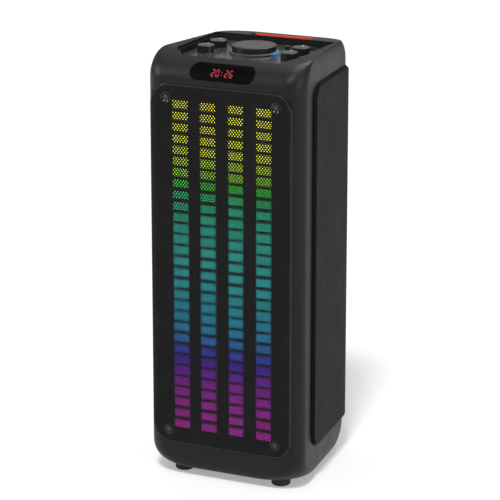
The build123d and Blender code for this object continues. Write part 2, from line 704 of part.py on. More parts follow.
with BuildPart() as potentiometers:
    blocks(level(board_z + board_thickness + 0.1), list(knobs.values()), 16, 16, pot_height)
    discs(level(pot_top), list(knobs.values()), bush_radius, bush_top - pot_top)
    discs(level(board_z + board_thickness + 2.8), list(knobs.values()), shaft_radius + running_gap, 40, Mode.SUBTRACT)
finish(potentiometers, "potentiometers")

with BuildPart() as jog_encoder:
    blocks(level(board_z + board_thickness + 0.1), [(0, jog_y)], 22, 22, pot_height)
    discs(level(pot_top), [(0, jog_y)], bush_radius, bush_top - pot_top)
    discs(level(board_z + board_thickness + 2.8), [(0, jog_y)], shaft_radius + running_gap, 40, Mode.SUBTRACT)
finish(jog_encoder, "jog_encoder")

with BuildPart() as jog_shaft:
    discs(level(board_z + board_thickness + 3), [(0, jog_y)], shaft_radius, jog_top - 4.2 - board_z - board_thickness - 3)
finish(jog_shaft, "jog_shaft")

with BuildPart() as jog_dial:
    discs(level(jog_bottom), [(0, jog_y)], jog_radius, jog_top - jog_bottom)
    chamfer(jog_dial.edges().group_by(Axis.Z)[-1], 1.2)
    discs(level(jog_bottom), [(0, jog_y)], jog_radius - 3, 5, Mode.SUBTRACT)
    discs(level(jog_bottom), [(0, jog_y)], 7, 6)
    discs(level(jog_bottom), [(0, jog_y)], shaft_radius + 0.02, jog_top - jog_bottom - 4, Mode.SUBTRACT)
finish(jog_dial, "jog_dial")

with BuildPart() as jog_light_ring:
    discs(level(plate_top + 0.1), [(0, jog_y)], ring_radius, ring_top - plate_top - 0.1)
    discs(level(plate_top), [(0, jog_y)], jog_radius + move_gap, 20, Mode.SUBTRACT)
    chamfer(jog_light_ring.edges().group_by(Axis.Z)[-1].sort_by(SortBy.RADIUS)[-1], 1.5)
finish(jog_light_ring, "jog_light_ring")

with BuildPart() as mode_button:
    discs(level(pot_top + 2), [(button_x, button_y)], button_radius, button_top - pot_top - 2)
    chamfer(mode_button.edges().group_by(Axis.Z)[-1], 0.6)
    discs(level(pot_top + 2), [(button_x, button_y)], button_radius + 1.5, 1.5)
finish(mode_button, "mode_button")

with BuildPart() as button_switch:
    blocks(level(board_z + board_thickness + 0.1), [(button_x, button_y)], 9, 9, pot_top + 2 - button_travel - 0.4 - board_z - board_thickness)
finish(button_switch, "button_switch")

with BuildPart() as usb_port:
    blocks(level(board_z + board_thickness + 0.1), [(usb_x, usb_y)], usb_width, usb_height, plate_top + 0.5 - board_z - board_thickness)
    blocks(level(plate_top - 12), [(usb_x, usb_y)], usb_width - 2.4, usb_height - 2.4, 40, Mode.SUBTRACT)
finish(usb_port, "usb_port")

with BuildPart() as mic_jack:
    discs(level(board_z + board_thickness + 0.1), [(jack_x, jack_y)], jack_radius, plate_top - board_z - board_thickness)
    discs(level(plate_top + 0.1), [(jack_x, jack_y)], jack_radius + 2.5, 2.5)
    discs(level(board_z + board_thickness + 2), [(jack_x, jack_y)], jack_bore, 60, Mode.SUBTRACT)
finish(mic_jack, "mic_jack")

with BuildPart() as control_board:
    board_front_y = knob_front_y - 14
    board_rear_y = jack_y + jack_radius + 1
    blocks(level(board_z), [(0, (board_front_y + board_rear_y) / 2)], 2 * (knob_x + 16), board_rear_y - board_front_y,
           board_thickness)
finish(control_board, "control_board")

with BuildPart() as deck_screws:
    discs(level(deck_floor + deck_sheet - 2), deck_spots, screw_head, 1.8)
    discs(level(deck_floor + deck_sheet - 14), deck_spots, screw_radius, 12)
    rail_spots = [(side * rail_screw_x, rail_screw_y) for side in (-1, 1)]
    discs(level(total_height - 3.9), rail_spots, 3.1, 2.4)
    discs(level(total_height - 3.9 - 12), rail_spots, 2.0, 12)
finish(deck_screws, "deck_screws")

# ---------------------------------------------------------------- hand slot lining and grip
well_half = slot_half + well_wall
well_rear_y = rear_plane - wall - fit_gap
with BuildPart() as handle_well:
    blocks(level(well_bottom), [(0, (slot_front_y - well_wall + well_rear_y) / 2)], 2 * well_half,
           well_rear_y - slot_front_y + well_wall, crown_base - fit_gap - well_bottom)
    blocks(level(well_bottom + well_wall), [(0, (slot_front_y + rear_plane) / 2)], 2 * slot_half,
           rear_plane - slot_front_y, total_height, Mode.SUBTRACT)
finish(handle_well, "handle_well")

with BuildPart() as handle_grip:
    grip_half = slot_half - fit_gap
    grip_bottom = bar_bottom - grip_sheet - fit_gap
    grip_top = total_height - rim_drop * (slot_rear_y - rear_plane + rim_run) / rim_run - fit_gap
    blocks(level(grip_bottom), [(0, slot_rear_y - grip_sheet / 2 - 0.1)], 2 * grip_half, grip_sheet,
           grip_top - grip_bottom)
    blocks(level(grip_bottom), [(0, slot_rear_y + (bar_depth - wall - grip_sheet) / 2)], 2 * grip_half,
           bar_depth - wall + grip_sheet, grip_sheet)
finish(handle_grip, "handle_grip")

# ---------------------------------------------------------------- rear connection panel
stand_off = 22.0
board_spots = [(sx * 44, z) for sx in (-1, 1) for z in (socket_bottom + 12, socket_top - 12)]
with BuildPart() as input_panel:
    blocks(facing(socket_outer_y), [(0, socket_middle)], socket_width + 2 * socket_lap, socket_height + 2 * socket_lap,
           socket_sheet, corner=4)
    discs(facing(socket_inner_y + 0.5), board_spots, 3, stand_off + 0.5)
    discs(facing(rear_plane), rear_jack_spots, jack_radius + fit_gap, 3 * wall, Mode.SUBTRACT)
    blocks(facing(rear_plane), [(inlet_x, inlet_z)], inlet_width + 2 * fit_gap, inlet_height + 2 * fit_gap, 3 * wall,
           Mode.SUBTRACT)
    blocks(facing(rear_plane), [(rocker_x, rocker_z)], housing_width + 2 * fit_gap, housing_height + 2 * fit_gap,
           3 * wall, Mode.SUBTRACT)
    discs(facing(rear_plane), socket_screw_spots, screw_radius + pilot_gap, 3 * wall, Mode.SUBTRACT)
finish(input_panel, "input_panel")

connector_depth = 22.0
with BuildPart() as rear_jacks:
    discs(facing(socket_outer_y + 2.2), rear_jack_spots, jack_radius + 2.4, 2)
    discs(facing(socket_outer_y + 0.3), rear_jack_spots, jack_radius, connector_depth)
    discs(facing(rear_plane), rear_jack_spots, jack_bore, connector_depth, Mode.SUBTRACT)
finish(rear_jacks, "rear_jacks")

with BuildPart() as mains_inlet:
    blocks(facing(socket_outer_y + 2.2), [(inlet_x, inlet_z)], inlet_width + 5, inlet_height + 5, 2, corner=2)
    blocks(facing(socket_outer_y + 0.3), [(inlet_x, inlet_z)], inlet_width, inlet_height, connector_depth)
    blocks(facing(rear_plane), [(inlet_x, inlet_z)], inlet_width - 5, inlet_height - 5, 15, Mode.SUBTRACT, 4)
    discs(facing(rear_plane - 5), [(inlet_x - 4, inlet_z), (inlet_x + 4, inlet_z)], 1.2, 11)
finish(mains_inlet, "mains_inlet")

pivot_y = socket_outer_y - 0.5
pin_radius = 1.2
with BuildPart() as rocker_housing:
    blocks(facing(socket_outer_y + 2.2), [(rocker_x, rocker_z)], housing_width + 4, housing_height + 4, 2, corner=2)
    blocks(facing(socket_outer_y + 0.3), [(rocker_x, rocker_z)], housing_width, housing_height, connector_depth - 4)
    blocks(facing(rear_plane), [(rocker_x, rocker_z)], 2 * rocker_half + 2 * move_gap, rocker_height + 1.8, 14,
           Mode.SUBTRACT)
    discs(Plane.YZ.offset(rocker_x - rocker_half - 2.5), [(pivot_y, rocker_z)], pin_radius + running_gap,
          2 * rocker_half + 5, Mode.SUBTRACT)
finish(rocker_housing, "rocker_housing")

rocker_tilt = 7.0
with BuildPart() as power_rocker:
    with BuildSketch() as profile:
        with BuildLine():
            Polyline((3.4, -10.4), (1.8, 0), (3.4, 10.4), (-2.4, 9.8), (-4.4, 0), (-2.4, -9.8), close=True)
        make_face()
    tilted = Pos(pivot_y, rocker_z) * Rot(0, 0, rocker_tilt) * profile.sketch
    extrude(Plane.YZ.offset(rocker_x - rocker_half) * tilted, amount=2 * rocker_half)
    discs(Plane.YZ.offset(rocker_x - rocker_half - 2), [(pivot_y, rocker_z)], pin_radius, 2 * rocker_half + 4)
finish(power_rocker, "power_rocker")

# ---------------------------------------------------------------- electronics
board_y = socket_inner_y - stand_off - 0.1
with BuildPart() as amplifier_board:
    blocks(facing(board_y), [(0, socket_middle)], socket_width - 4, socket_height - 6, strip_thickness)
    blocks(facing(board_y - strip_thickness), [(-38, socket_middle), (-20, socket_middle - 44), (30, socket_middle - 46)],
           14, 14, 18)
finish(amplifier_board, "amplifier_board")

with BuildPart() as heat_sink:
    sink_y = board_y - strip_thickness - 0.1
    blocks(facing(sink_y), [(20, socket_middle + 8)], 60, 70, 4)
    blocks(facing(sink_y - 4), [(20 + 6 * (fin - 4.5), socket_middle + 8) for fin in range(10)], 1.6, 70, 22)
finish(heat_sink, "heat_sink")

with BuildPart() as power_supply:
    supply_y = rear_plane - wall - supply_post
    blocks(facing(supply_y - 0.1), [(0, supply_z)], 110, 100, strip_thickness)
    blocks(facing(supply_y - 0.1 - strip_thickness), [(-24, supply_z + 10)], 42, 46, 32, corner=2)
    discs(facing(supply_y - 0.1 - strip_thickness), [(22, supply_z + 26), (22, supply_z - 4)], 11, 30)
finish(power_supply, "power_supply")

floor_z = foot_height + wall
with BuildPart() as battery_pack:
    blocks(level(floor_z + 2.4), [(0, battery_y)], battery_width, battery_depth, battery_height, corner=6)
finish(battery_pack, "battery_pack")

with BuildPart() as battery_bracket:
    blocks(level(floor_z + 0.1), [(0, battery_y)], battery_width + 5, battery_depth + 5, 34, corner=7)
    blocks(level(floor_z + 2.2), [(0, battery_y)], battery_width + 0.6, battery_depth + 0.6, 60, Mode.SUBTRACT, 6)
    blocks(level(floor_z + 12), [(0, battery_y)], battery_width - 30, 2 * battery_depth, 60, Mode.SUBTRACT)
finish(battery_bracket, "battery_bracket")

# ---------------------------------------------------------------- case screws, hidden or at the back
with BuildPart() as case_screws:
    for side in (-1, 1):
        discs(Plane.YZ.offset(side * screw_head_x), tongue_spots, screw_head, side * 1.8)
        discs(Plane.YZ.offset(side * (screw_head_x - 6)), tongue_spots, screw_radius, side * 6)
    discs(level(foot_height - 4 - 2.2), foot_spots, screw_head, 2)
    discs(level(foot_height - 4 - 0.2), foot_spots, screw_radius, 4 + wall)
    discs(facing(baffle_y + baffle_thickness + 2.1), boss_spots, screw_head, 2)
    discs(facing(baffle_y + baffle_thickness + 0.1), boss_spots, screw_radius, baffle_thickness + 12)
    discs(facing(rear_plane + 2), socket_screw_spots, screw_head, 1.9)
    discs(facing(rear_plane + 0.2), socket_screw_spots, screw_radius, 10)
finish(case_screws, "case_screws")
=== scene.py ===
"""Finishes and fine parts of a free-standing party speaker, laid out as an add-on.

Frame: metres, X to the right, Y to the back, Z up, origin on the floor under the middle of the cabinet.
"""
import json
import math

import bpy
import numpy as np
from bpy.props import FloatProperty, FloatVectorProperty, IntProperty, PointerProperty, StringProperty
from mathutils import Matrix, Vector

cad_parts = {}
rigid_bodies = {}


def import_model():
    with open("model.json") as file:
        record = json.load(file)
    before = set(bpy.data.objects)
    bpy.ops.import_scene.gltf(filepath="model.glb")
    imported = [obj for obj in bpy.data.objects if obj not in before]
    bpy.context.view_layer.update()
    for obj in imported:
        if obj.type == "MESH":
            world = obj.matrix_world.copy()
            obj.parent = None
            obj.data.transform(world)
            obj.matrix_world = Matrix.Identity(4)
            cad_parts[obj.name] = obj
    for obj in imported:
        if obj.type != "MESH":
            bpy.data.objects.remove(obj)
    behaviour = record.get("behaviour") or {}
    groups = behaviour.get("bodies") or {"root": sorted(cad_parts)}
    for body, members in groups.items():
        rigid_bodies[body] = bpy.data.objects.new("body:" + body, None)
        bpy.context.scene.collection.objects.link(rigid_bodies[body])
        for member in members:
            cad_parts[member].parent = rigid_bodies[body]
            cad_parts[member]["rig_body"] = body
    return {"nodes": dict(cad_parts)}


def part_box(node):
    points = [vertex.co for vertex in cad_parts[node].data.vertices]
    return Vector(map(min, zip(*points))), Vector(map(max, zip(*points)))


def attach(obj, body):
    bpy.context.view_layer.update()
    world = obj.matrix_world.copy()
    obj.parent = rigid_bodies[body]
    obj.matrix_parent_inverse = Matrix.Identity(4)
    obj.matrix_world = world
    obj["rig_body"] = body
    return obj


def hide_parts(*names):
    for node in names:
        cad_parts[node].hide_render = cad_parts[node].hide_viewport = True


bl_info = {
    "name": "Party speaker finishes",
    "version": (1, 0, 0),
    "blender": (4, 5, 0),
    "location": "3D View > Sidebar > Speaker",
    "description": "Perforated grille, lit blocks, controls and finishes of a party speaker",
    "category": "Object",
}

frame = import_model()
NODES = frame["nodes"]
MM = 0.001

# sizes that the cabinet gives
GRILLE_LOW, GRILLE_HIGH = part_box("front_grille")
PLATE_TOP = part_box("control_plate")[1].z
JOG_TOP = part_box("jog_dial")[1].z
TILE_LOW, TILE_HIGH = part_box("led_tiles_1")
LENS_LOW, LENS_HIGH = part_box("display_window")
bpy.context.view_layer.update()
KNOBS = ("bass", "treble", "echo", "mic")

# sizes shared with the cabinet that no box gives
FRONT_Y = -0.140
CROWN_BASE = 0.695
CROWN_RISE = 0.045
CROWN_DEPTH = 0.070
GRILLE_MIDDLE_Z = 0.376
GRILLE_SCREW_X = 0.1005
GRILLE_SCREW_Z = 0.292  # above and below the middle of the grille
RAIL_SCREW_X = 0.1195
RAIL_SCREW_Y = 0.007
TILE_ROWS = 30
TILE_PITCH = 19.32 * MM
SIDES = (-1, 1)


# ------------------------------------------------------------------ sizes and colours a user may change
def colour_setting(name, description, default):
    return FloatVectorProperty(name=name, description=description, subtype="COLOR", size=3, min=0, max=1,
                               default=default)


def length_setting(name, description, default):
    return FloatProperty(name=name, description=description, subtype="DISTANCE", unit="LENGTH", default=default)


def strength_setting(name, description, default):
    return FloatProperty(name=name, description=description, min=0, default=default)


def power_setting(name, description, default):
    return FloatProperty(name=name, description=description, unit="POWER", default=default)


class CabinetFinish(bpy.types.PropertyGroup):
    shell_colour: colour_setting("Shell colour", "Moulded cabinet plastic", (0.008, 0.008, 0.0085))
    # the flank panels are coloured darker than the shell plastic: painted shade on the flanks
    panel_shade_colour: colour_setting("Flank panel colour", "Raised panels on the flanks", (0.0055, 0.0055, 0.006))
    grip_colour: colour_setting("Grip colour", "Soft lining of the carry bar", (0.80, 0.035, 0.008))
    roughness: FloatProperty(name="Roughness", description="Sheen of the moulded plastic", min=0, max=1, default=0.44)


class GrilleSizes(bpy.types.PropertyGroup):
    pitch_across: length_setting("Pitch across", "Between neighbouring holes in one row", 5.3 * MM)
    pitch_up: length_setting("Pitch up", "Between one row of holes and the next but one", 6.6 * MM)
    open_share: FloatProperty(name="Hole size", description="Hole as a share of its cell, along a side",
                              min=0.3, max=0.9, default=0.46)
    sheet: length_setting("Sheet", "Thickness of the steel", 1.2 * MM)
    rim: length_setting("Rim", "Plain border round the holes", 3.0 * MM)
    corner: length_setting("Corner radius", "Of the grille's outline", 36 * MM)
    bands: IntProperty(name="Bands", description="Pieces that the perforated field is made in", min=1, default=3)
    colour: colour_setting("Grille colour", "Powder coat", (0.008, 0.008, 0.0085))


class LightSettings(bpy.types.PropertyGroup):
    tile_strength: strength_setting("Block strength", "Glow of the light blocks", 4.3)
    ring_strength: strength_setting("Ring strength", "Glow round the jog dial", 0.55)
    digit_strength: strength_setting("Digit strength", "Glow of the display", 0.2)
    digit_colour: colour_setting("Digit colour", "Display segments", (0.80, 0.012, 0.06))
    shown: StringProperty(name="Shown", description="Figures on the display", default="20:26")
    digit_height: length_setting("Digit height", "Height of a figure on the display", 9.5 * MM)


class ControlFinish(bpy.types.PropertyGroup):
    plate_colour: colour_setting("Plate colour", "Glossy control plate", (0.022, 0.023, 0.025))
    cap_colour: colour_setting("Cap colour", "Tops of the knobs and the jog dial", (0.030, 0.0305, 0.032))
    skirt_colour: colour_setting("Skirt colour", "Sides of the knobs and the jog dial", (0.009, 0.009, 0.010))
    mark_colour: colour_setting("Mark colour", "Printed ticks and pointers", (0.62, 0.62, 0.60))


class StageSettings(bpy.types.PropertyGroup):
    key_strength: strength_setting("Key light", "Soft distant light, high in front", 1.8)
    strip_power: power_setting("Strip light", "Tall strip, high on the right", 23.0)
    top_power: power_setting("Top light", "Overhead panel", 45.0)
    fill_power: power_setting("Fill light", "Square panel, upper left", 75.0)
    surround: strength_setting("Surround", "Even light from all round", 0.34)
    floor_glow: strength_setting("Floor glow", "Light of the floor itself", 0.34)
    lens: FloatProperty(name="Focal length", description="Camera lens, in millimetres", default=179.3)


# ------------------------------------------------------------------ finishes
class Recipe:
    """The nodes of one finish. A value given to a socket is either a constant or another node's output."""

    def __init__(self, name):
        self.material = bpy.data.materials.new(name)
        self.material.use_nodes = True
        self.tree = self.material.node_tree
        self.tree.nodes.clear()
        self.place = self.add("ShaderNodeTexCoord").outputs["Object"]

    def add(self, kind, sockets=None, **settings):
        node = self.tree.nodes.new(kind)
        for key, value in settings.items():
            setattr(node, key, value)
        for key, value in (sockets or {}).items():
            if isinstance(value, bpy.types.NodeSocket):
                self.tree.links.new(value, node.inputs[key])
            else:
                node.inputs[key].default_value = value
        return node

    def math(self, operation, *values, clamp=False):
        node = self.add("ShaderNodeMath", dict(enumerate(values)), operation=operation, use_clamp=clamp)
        return node.outputs[0]

    def noise(self, size, detail=2.0, rough=0.5, place=None):
        """Noise whose grains are about size metres across."""
        node = self.add("ShaderNodeTexNoise", {"Vector": place or self.place, "Scale": 1 / size, "Detail": detail,
                                               "Roughness": rough})
        return node.outputs["Fac"]

    def between(self, share, low, high):
        node = self.add("ShaderNodeMapRange", {"Value": share, "From Min": 0.3, "From Max": 0.7, "To Min": low,
                                               "To Max": high})
        return node.outputs["Result"]

    def blend(self, share, first, second):
        node = self.add("ShaderNodeMix", {0: share}, data_type="RGBA")
        for slot, value in ((6, first), (7, second)):
            if isinstance(value, bpy.types.NodeSocket):
                self.tree.links.new(value, node.inputs[slot])
            else:
                node.inputs[slot].default_value = (*value, 1)
        return node.outputs[2]

    def bump(self, height, strength, distance, under=None):
        sockets = {"Height": height, "Strength": strength, "Distance": distance}
        if under:
            sockets["Normal"] = under
        return self.add("ShaderNodeBump", sockets).outputs["Normal"]

    def ramp(self, share, stops):
        node = self.add("ShaderNodeValToRGB", {"Fac": share})
        band = node.color_ramp.elements
        while len(band) < len(stops):
            band.new(1.0)
        for element, (where, _) in zip(band, stops):
            element.position = where
        for element, (_, colour) in zip(band, stops):
            element.color = (*colour, 1)
        return node.outputs["Color"]

    def parts(self, place=None):
        return self.add("ShaderNodeSeparateXYZ", {"Vector": place or self.place}).outputs

    def centred(self, centre):
        """Object coordinates measured from a point."""
        node = self.add("ShaderNodeMapping", {"Vector": self.place, "Location": [-c for c in centre]})
        return node.outputs["Vector"]

    def rings(self, centre, pitch):
        """Waves round an upright axis through a point: sin(2 pi radius / pitch)."""
        x, y, _ = self.parts(self.centred(centre))
        radius = self.math("SQRT", self.math("ADD", self.math("MULTIPLY", x, x), self.math("MULTIPLY", y, y)))
        return self.math("SINE", self.math("MULTIPLY", radius, 2 * math.pi / pitch))

    def flutes(self, pitch):
        """Waves along X: sin(2 pi x / pitch)."""
        return self.math("SINE", self.math("MULTIPLY", self.parts()[0], 2 * math.pi / pitch))

    def stretched(self, share):
        """Object coordinates drawn out along Z, so that a texture runs up and down."""
        return self.add("ShaderNodeMapping", {"Vector": self.place, "Scale": (1.0, 1.0, share)}).outputs["Vector"]

    def done(self, **sockets):
        """The last node: a Principled shader. Names are given with underscores for spaces."""
        named = {key.replace("_", " "): value for key, value in sockets.items()}
        shader = self.add("ShaderNodeBsdfPrincipled", named)
        out = self.add("ShaderNodeOutputMaterial")
        self.tree.links.new(shader.outputs[0], out.inputs["Surface"])
        return self.material


def rgba(colour):
    return (*colour, 1.0)


def lighter(colour, times):
    return tuple(min(1.0, c * times) for c in colour)


def moulded(name, colour, roughness, grain=0.5 * MM, strength=0.3, gloss=0.18):
    """Moulded plastic: a spark-eroded grain, faint flow marks and a little handling sheen."""
    r = Recipe(name)
    flow = r.noise(70 * MM, 4, 0.6)
    handled = r.noise(9 * MM, 3, 0.55)
    tint = r.blend(r.between(flow, 0.0, 1.0), lighter(colour, 0.88), lighter(colour, 1.14))
    dust = r.math("GREATER_THAN", r.noise(1.3 * MM, 1, 0.4), 0.74)
    tint = r.blend(r.math("MULTIPLY", dust, 0.35), tint, lighter(colour, 2.2))
    rough = r.math("ADD", r.between(handled, -0.035, 0.035), r.between(flow, roughness - 0.03, roughness + 0.03))
    cells = r.add("ShaderNodeTexVoronoi", {"Vector": r.place, "Scale": 1 / grain}).outputs["Distance"]
    skin = r.bump(cells, strength, 0.03 * MM)
    skin = r.bump(r.noise(18 * MM, 2), 0.12, 0.05 * MM, skin)
    return r.done(Base_Color=tint, Roughness=rough, Normal=skin, Specular_IOR_Level=gloss)


def powder_coat(name, colour, roughness=0.42, gloss=0.08):
    """Baked powder coat on steel: fine orange peel over a faintly mottled black."""
    r = Recipe(name)
    peel = r.noise(0.9 * MM, 3, 0.6)
    tint = r.blend(r.between(r.noise(30 * MM, 3), 0.0, 1.0), colour, lighter(colour, 1.35))
    return r.done(Base_Color=tint, Roughness=r.between(r.noise(4 * MM, 2), roughness - 0.06, roughness + 0.06),
                  Normal=r.bump(peel, 0.25, 0.05 * MM), Specular_IOR_Level=gloss)


def polished(name, colour, roughness=0.09, coat=0.6, gloss=0.5):
    """Polished plastic with hairline swirls and faint smears."""
    r = Recipe(name)
    smear = r.noise(22 * MM, 5, 0.65)
    hair = r.add("ShaderNodeTexNoise", {"Vector": r.place, "Scale": 900.0, "Detail": 1.0, "Distortion": 2.5})
    rough = r.math("ADD", r.between(smear, roughness - 0.03, roughness + 0.05),
                   r.between(hair.outputs["Fac"], -0.01, 0.01))
    tint = r.blend(r.between(smear, 0.0, 1.0), colour, lighter(colour, 1.12))
    return r.done(Base_Color=tint, Roughness=rough, Normal=r.bump(r.noise(12 * MM, 1), 0.04, 0.05 * MM),
                  Coat_Weight=coat, Coat_Roughness=0.05, Specular_IOR_Level=gloss)


def turned_metal(name, colour, centre, roughness=0.32):
    """Lathe-turned metal: fine rings round an upright axis through centre."""
    r = Recipe(name)
    rings = r.rings(centre, 0.35 * MM)
    return r.done(Base_Color=r.blend(r.between(r.noise(3 * MM, 3), 0.0, 1.0), lighter(colour, 0.9), colour),
                  Metallic=1.0, Roughness=r.between(r.noise(1.5 * MM, 2), roughness - 0.05, roughness + 0.07),
                  Normal=r.bump(rings, 0.12, 0.02 * MM))


def rotary_cap(name, cap, skirt, centre):
    """A knob: spun rings on its grey top, fine moulded grain on its dark side."""
    r = Recipe(name)
    up = r.parts(r.add("ShaderNodeNewGeometry").outputs["Normal"])[2]
    top = r.math("GREATER_THAN", up, 0.6)
    rings = r.rings(centre, 0.5 * MM)
    grain = r.noise(0.5 * MM, 2)
    face = r.blend(r.between(r.noise(8 * MM, 3), 0.0, 1.0), lighter(cap, 0.85), lighter(cap, 1.1))
    return r.done(Base_Color=r.blend(top, skirt, face),
                  Roughness=r.math("ADD", r.between(r.noise(3 * MM, 2), 0.30, 0.38), r.math("MULTIPLY", top, -0.02)),
                  Normal=r.bump(r.blend(top, grain, rings), 0.16, 0.03 * MM), Coat_Weight=0.1)


def rubber(name, colour=(0.014, 0.014, 0.014)):
    """Dull moulded rubber with a bloom of dust."""
    r = Recipe(name)
    bloom = r.noise(6 * MM, 5, 0.7)
    return r.done(Base_Color=r.blend(r.between(bloom, 0.0, 0.5), colour, lighter(colour, 2.4)),
                  Roughness=r.between(bloom, 0.62, 0.8), Normal=r.bump(r.noise(0.8 * MM, 3), 0.3, 0.05 * MM),
                  Specular_IOR_Level=0.35)


def soft_grip(name, colour):
    """Soft-touch rubber with fine cross ribs for the fingers."""
    r = Recipe(name)
    ribs = r.flutes(3.2 * MM)
    worn = r.noise(11 * MM, 4, 0.6)
    return r.done(Base_Color=r.blend(r.between(worn, 0.0, 1.0), lighter(colour, 0.92), lighter(colour, 1.05)),
                  Roughness=r.between(worn, 0.46, 0.6),
                  Normal=r.bump(r.noise(0.6 * MM, 2), 0.2, 0.04 * MM, r.bump(ribs, 0.18, 0.1 * MM)))


def fibre_board(name):
    """Sawn fibre board: matted fibres, darker in scattered patches."""
    r = Recipe(name)
    fibre = r.noise(1.6 * MM, 6, 0.7, r.stretched(0.2))
    patch = r.noise(30 * MM, 3)
    tint = r.blend(fibre, (0.20, 0.12, 0.06), (0.42, 0.28, 0.16))
    return r.done(Base_Color=r.blend(r.between(patch, 0.0, 0.35), tint, (0.16, 0.10, 0.06)),
                  Roughness=0.85, Normal=r.bump(fibre, 0.4, 0.2 * MM))


def pulp_cone(name):
    """Pressed paper pulp, with fibres and a faint sheen of lacquer."""
    r = Recipe(name)
    fibre = r.noise(1.2 * MM, 6, 0.75)
    return r.done(Base_Color=r.blend(fibre, (0.012, 0.012, 0.012), (0.045, 0.043, 0.04)),
                  Roughness=r.between(fibre, 0.5, 0.72), Normal=r.bump(fibre, 0.5, 0.15 * MM), Sheen_Weight=0.1)


def board_laminate(name, colour=(0.012, 0.075, 0.032)):
    """Solder mask over etched tracks: a faint lattice of raised lines and bright pads."""
    r = Recipe(name)
    tracks = r.add("ShaderNodeTexBrick", {"Vector": r.place, "Scale": 120.0, "Mortar Size": 0.06,
                                          "Color1": rgba((0, 0, 0)), "Color2": rgba((0, 0, 0)),
                                          "Mortar": rgba((1, 1, 1))}).outputs["Color"]
    pads = r.math("LESS_THAN", r.add("ShaderNodeTexVoronoi", {"Vector": r.place, "Scale": 260.0}).outputs["Distance"],
                  0.16)
    tint = r.blend(tracks, colour, lighter(colour, 1.8))
    return r.done(Base_Color=r.blend(pads, tint, (0.5, 0.46, 0.36)), Metallic=pads, Roughness=0.3,
                  Normal=r.bump(tracks, 0.2, 0.05 * MM), Coat_Weight=0.3)


def shrink_wrap(name):
    """Tight blue film over round cells: long soft flutes and small creases."""
    r = Recipe(name)
    flutes = r.flutes(18.5 * MM)
    crease = r.noise(7 * MM, 5, 0.7)
    skin = r.bump(crease, 0.25, 0.2 * MM, r.bump(flutes, 0.5, 1.0 * MM))
    return r.done(Base_Color=r.blend(crease, (0.01, 0.04, 0.16), (0.03, 0.09, 0.28)), Roughness=0.22, Normal=skin,
                  Coat_Weight=0.4)


def extruded_aluminium(name):
    """Extruded aluminium with lines along its length."""
    r = Recipe(name)
    lines = r.noise(0.4 * MM, 3, 0.6, r.stretched(0.03))
    return r.done(Base_Color=r.blend(lines, (0.5, 0.5, 0.51), (0.72, 0.72, 0.73)), Metallic=1.0,
                  Roughness=r.between(lines, 0.28, 0.42), Normal=r.bump(lines, 0.2, 0.03 * MM))


# colours of the light blocks, from the top row to the bottom one: share of the way down, then red, green, blue
RAINBOW = (
    (0.000, (0.42, 0.4, 0.012)), (0.130, (0.4, 0.43, 0.01)), (0.200, (0.2, 0.42, 0.01)),
    (0.240, (0.02, 0.38, 0.02)), (0.262, (0.012, 0.38, 0.05)), (0.285, (0.012, 0.36, 0.18)),
    (0.420, (0.02, 0.36, 0.302)), (0.560, (0.018, 0.333, 0.347)), (0.660, (0.012, 0.261, 0.403)),
    (0.710, (0.012, 0.2, 0.4)), (0.745, (0.018, 0.06, 0.42)), (0.785, (0.04, 0.01, 0.328)),
    (0.820, (0.128, 0.008, 0.328)), (0.870, (0.264, 0.008, 0.328)), (0.930, (0.336, 0.008, 0.312)),
    (1.000, (0.352, 0.008, 0.296)),
)


def light_block(name, strength, centre_x, half_width, low, high, rows):
    """Frosted block lit from behind: each row has its colour, two hot spots and a fall-off to the edges."""
    r = Recipe(name)
    x, _, z = r.parts()
    down = r.math("DIVIDE", r.math("SUBTRACT", high, z), high - low)
    row = r.math("MULTIPLY", down, float(rows))
    step = r.math("FLOOR", row)
    colour = r.ramp(r.math("DIVIDE", step, rows - 1.0), RAINBOW)
    within = r.math("SUBTRACT", r.math("FRACT", row), 0.5)
    edge_z = r.math("POWER", r.math("ABSOLUTE", r.math("MULTIPLY", within, 2.3)), 4.0)
    across = r.math("DIVIDE", r.math("SUBTRACT", x, centre_x), half_width)
    spots = r.math("COSINE", r.math("MULTIPLY", across, 2 * math.pi))
    flicker = r.add("ShaderNodeTexWhiteNoise", {"Vector": r.add("ShaderNodeCombineXYZ", {
        0: step, 1: centre_x * 100}).outputs[0]}, noise_dimensions="3D").outputs["Value"]
    power = r.math("SUBTRACT", r.math("MULTIPLY_ADD", spots, -0.12, 0.98), r.math("MULTIPLY", edge_z, 0.3))
    power = r.math("MULTIPLY", power, r.math("MULTIPLY_ADD", flicker, 0.16, 0.92))
    facing = r.parts(r.add("ShaderNodeNewGeometry").outputs["Normal"])[1]
    power = r.math("MULTIPLY", power, r.math("LESS_THAN", facing, -0.5))
    frost = r.add("ShaderNodeMapRange", {"Value": r.math("ABSOLUTE", within), "From Min": 0.335, "From Max": 0.375,
                                         "To Min": 1.0, "To Max": 0.0}).outputs["Result"]
    power = r.math("MULTIPLY", power, frost)
    power = r.math("MULTIPLY", power, r.between(r.noise(2.2 * MM, 2), 0.94, 1.06))
    glow = r.add("ShaderNodeVectorMath", {0: colour}, operation="SCALE")
    r.tree.links.new(power, glow.inputs["Scale"])
    return r.done(Base_Color=(0.10, 0.10, 0.10, 1), Roughness=0.4, Emission_Color=glow.outputs[0],
                  Emission_Strength=strength, Normal=r.bump(r.noise(0.7 * MM, 2), 0.2, 0.05 * MM))


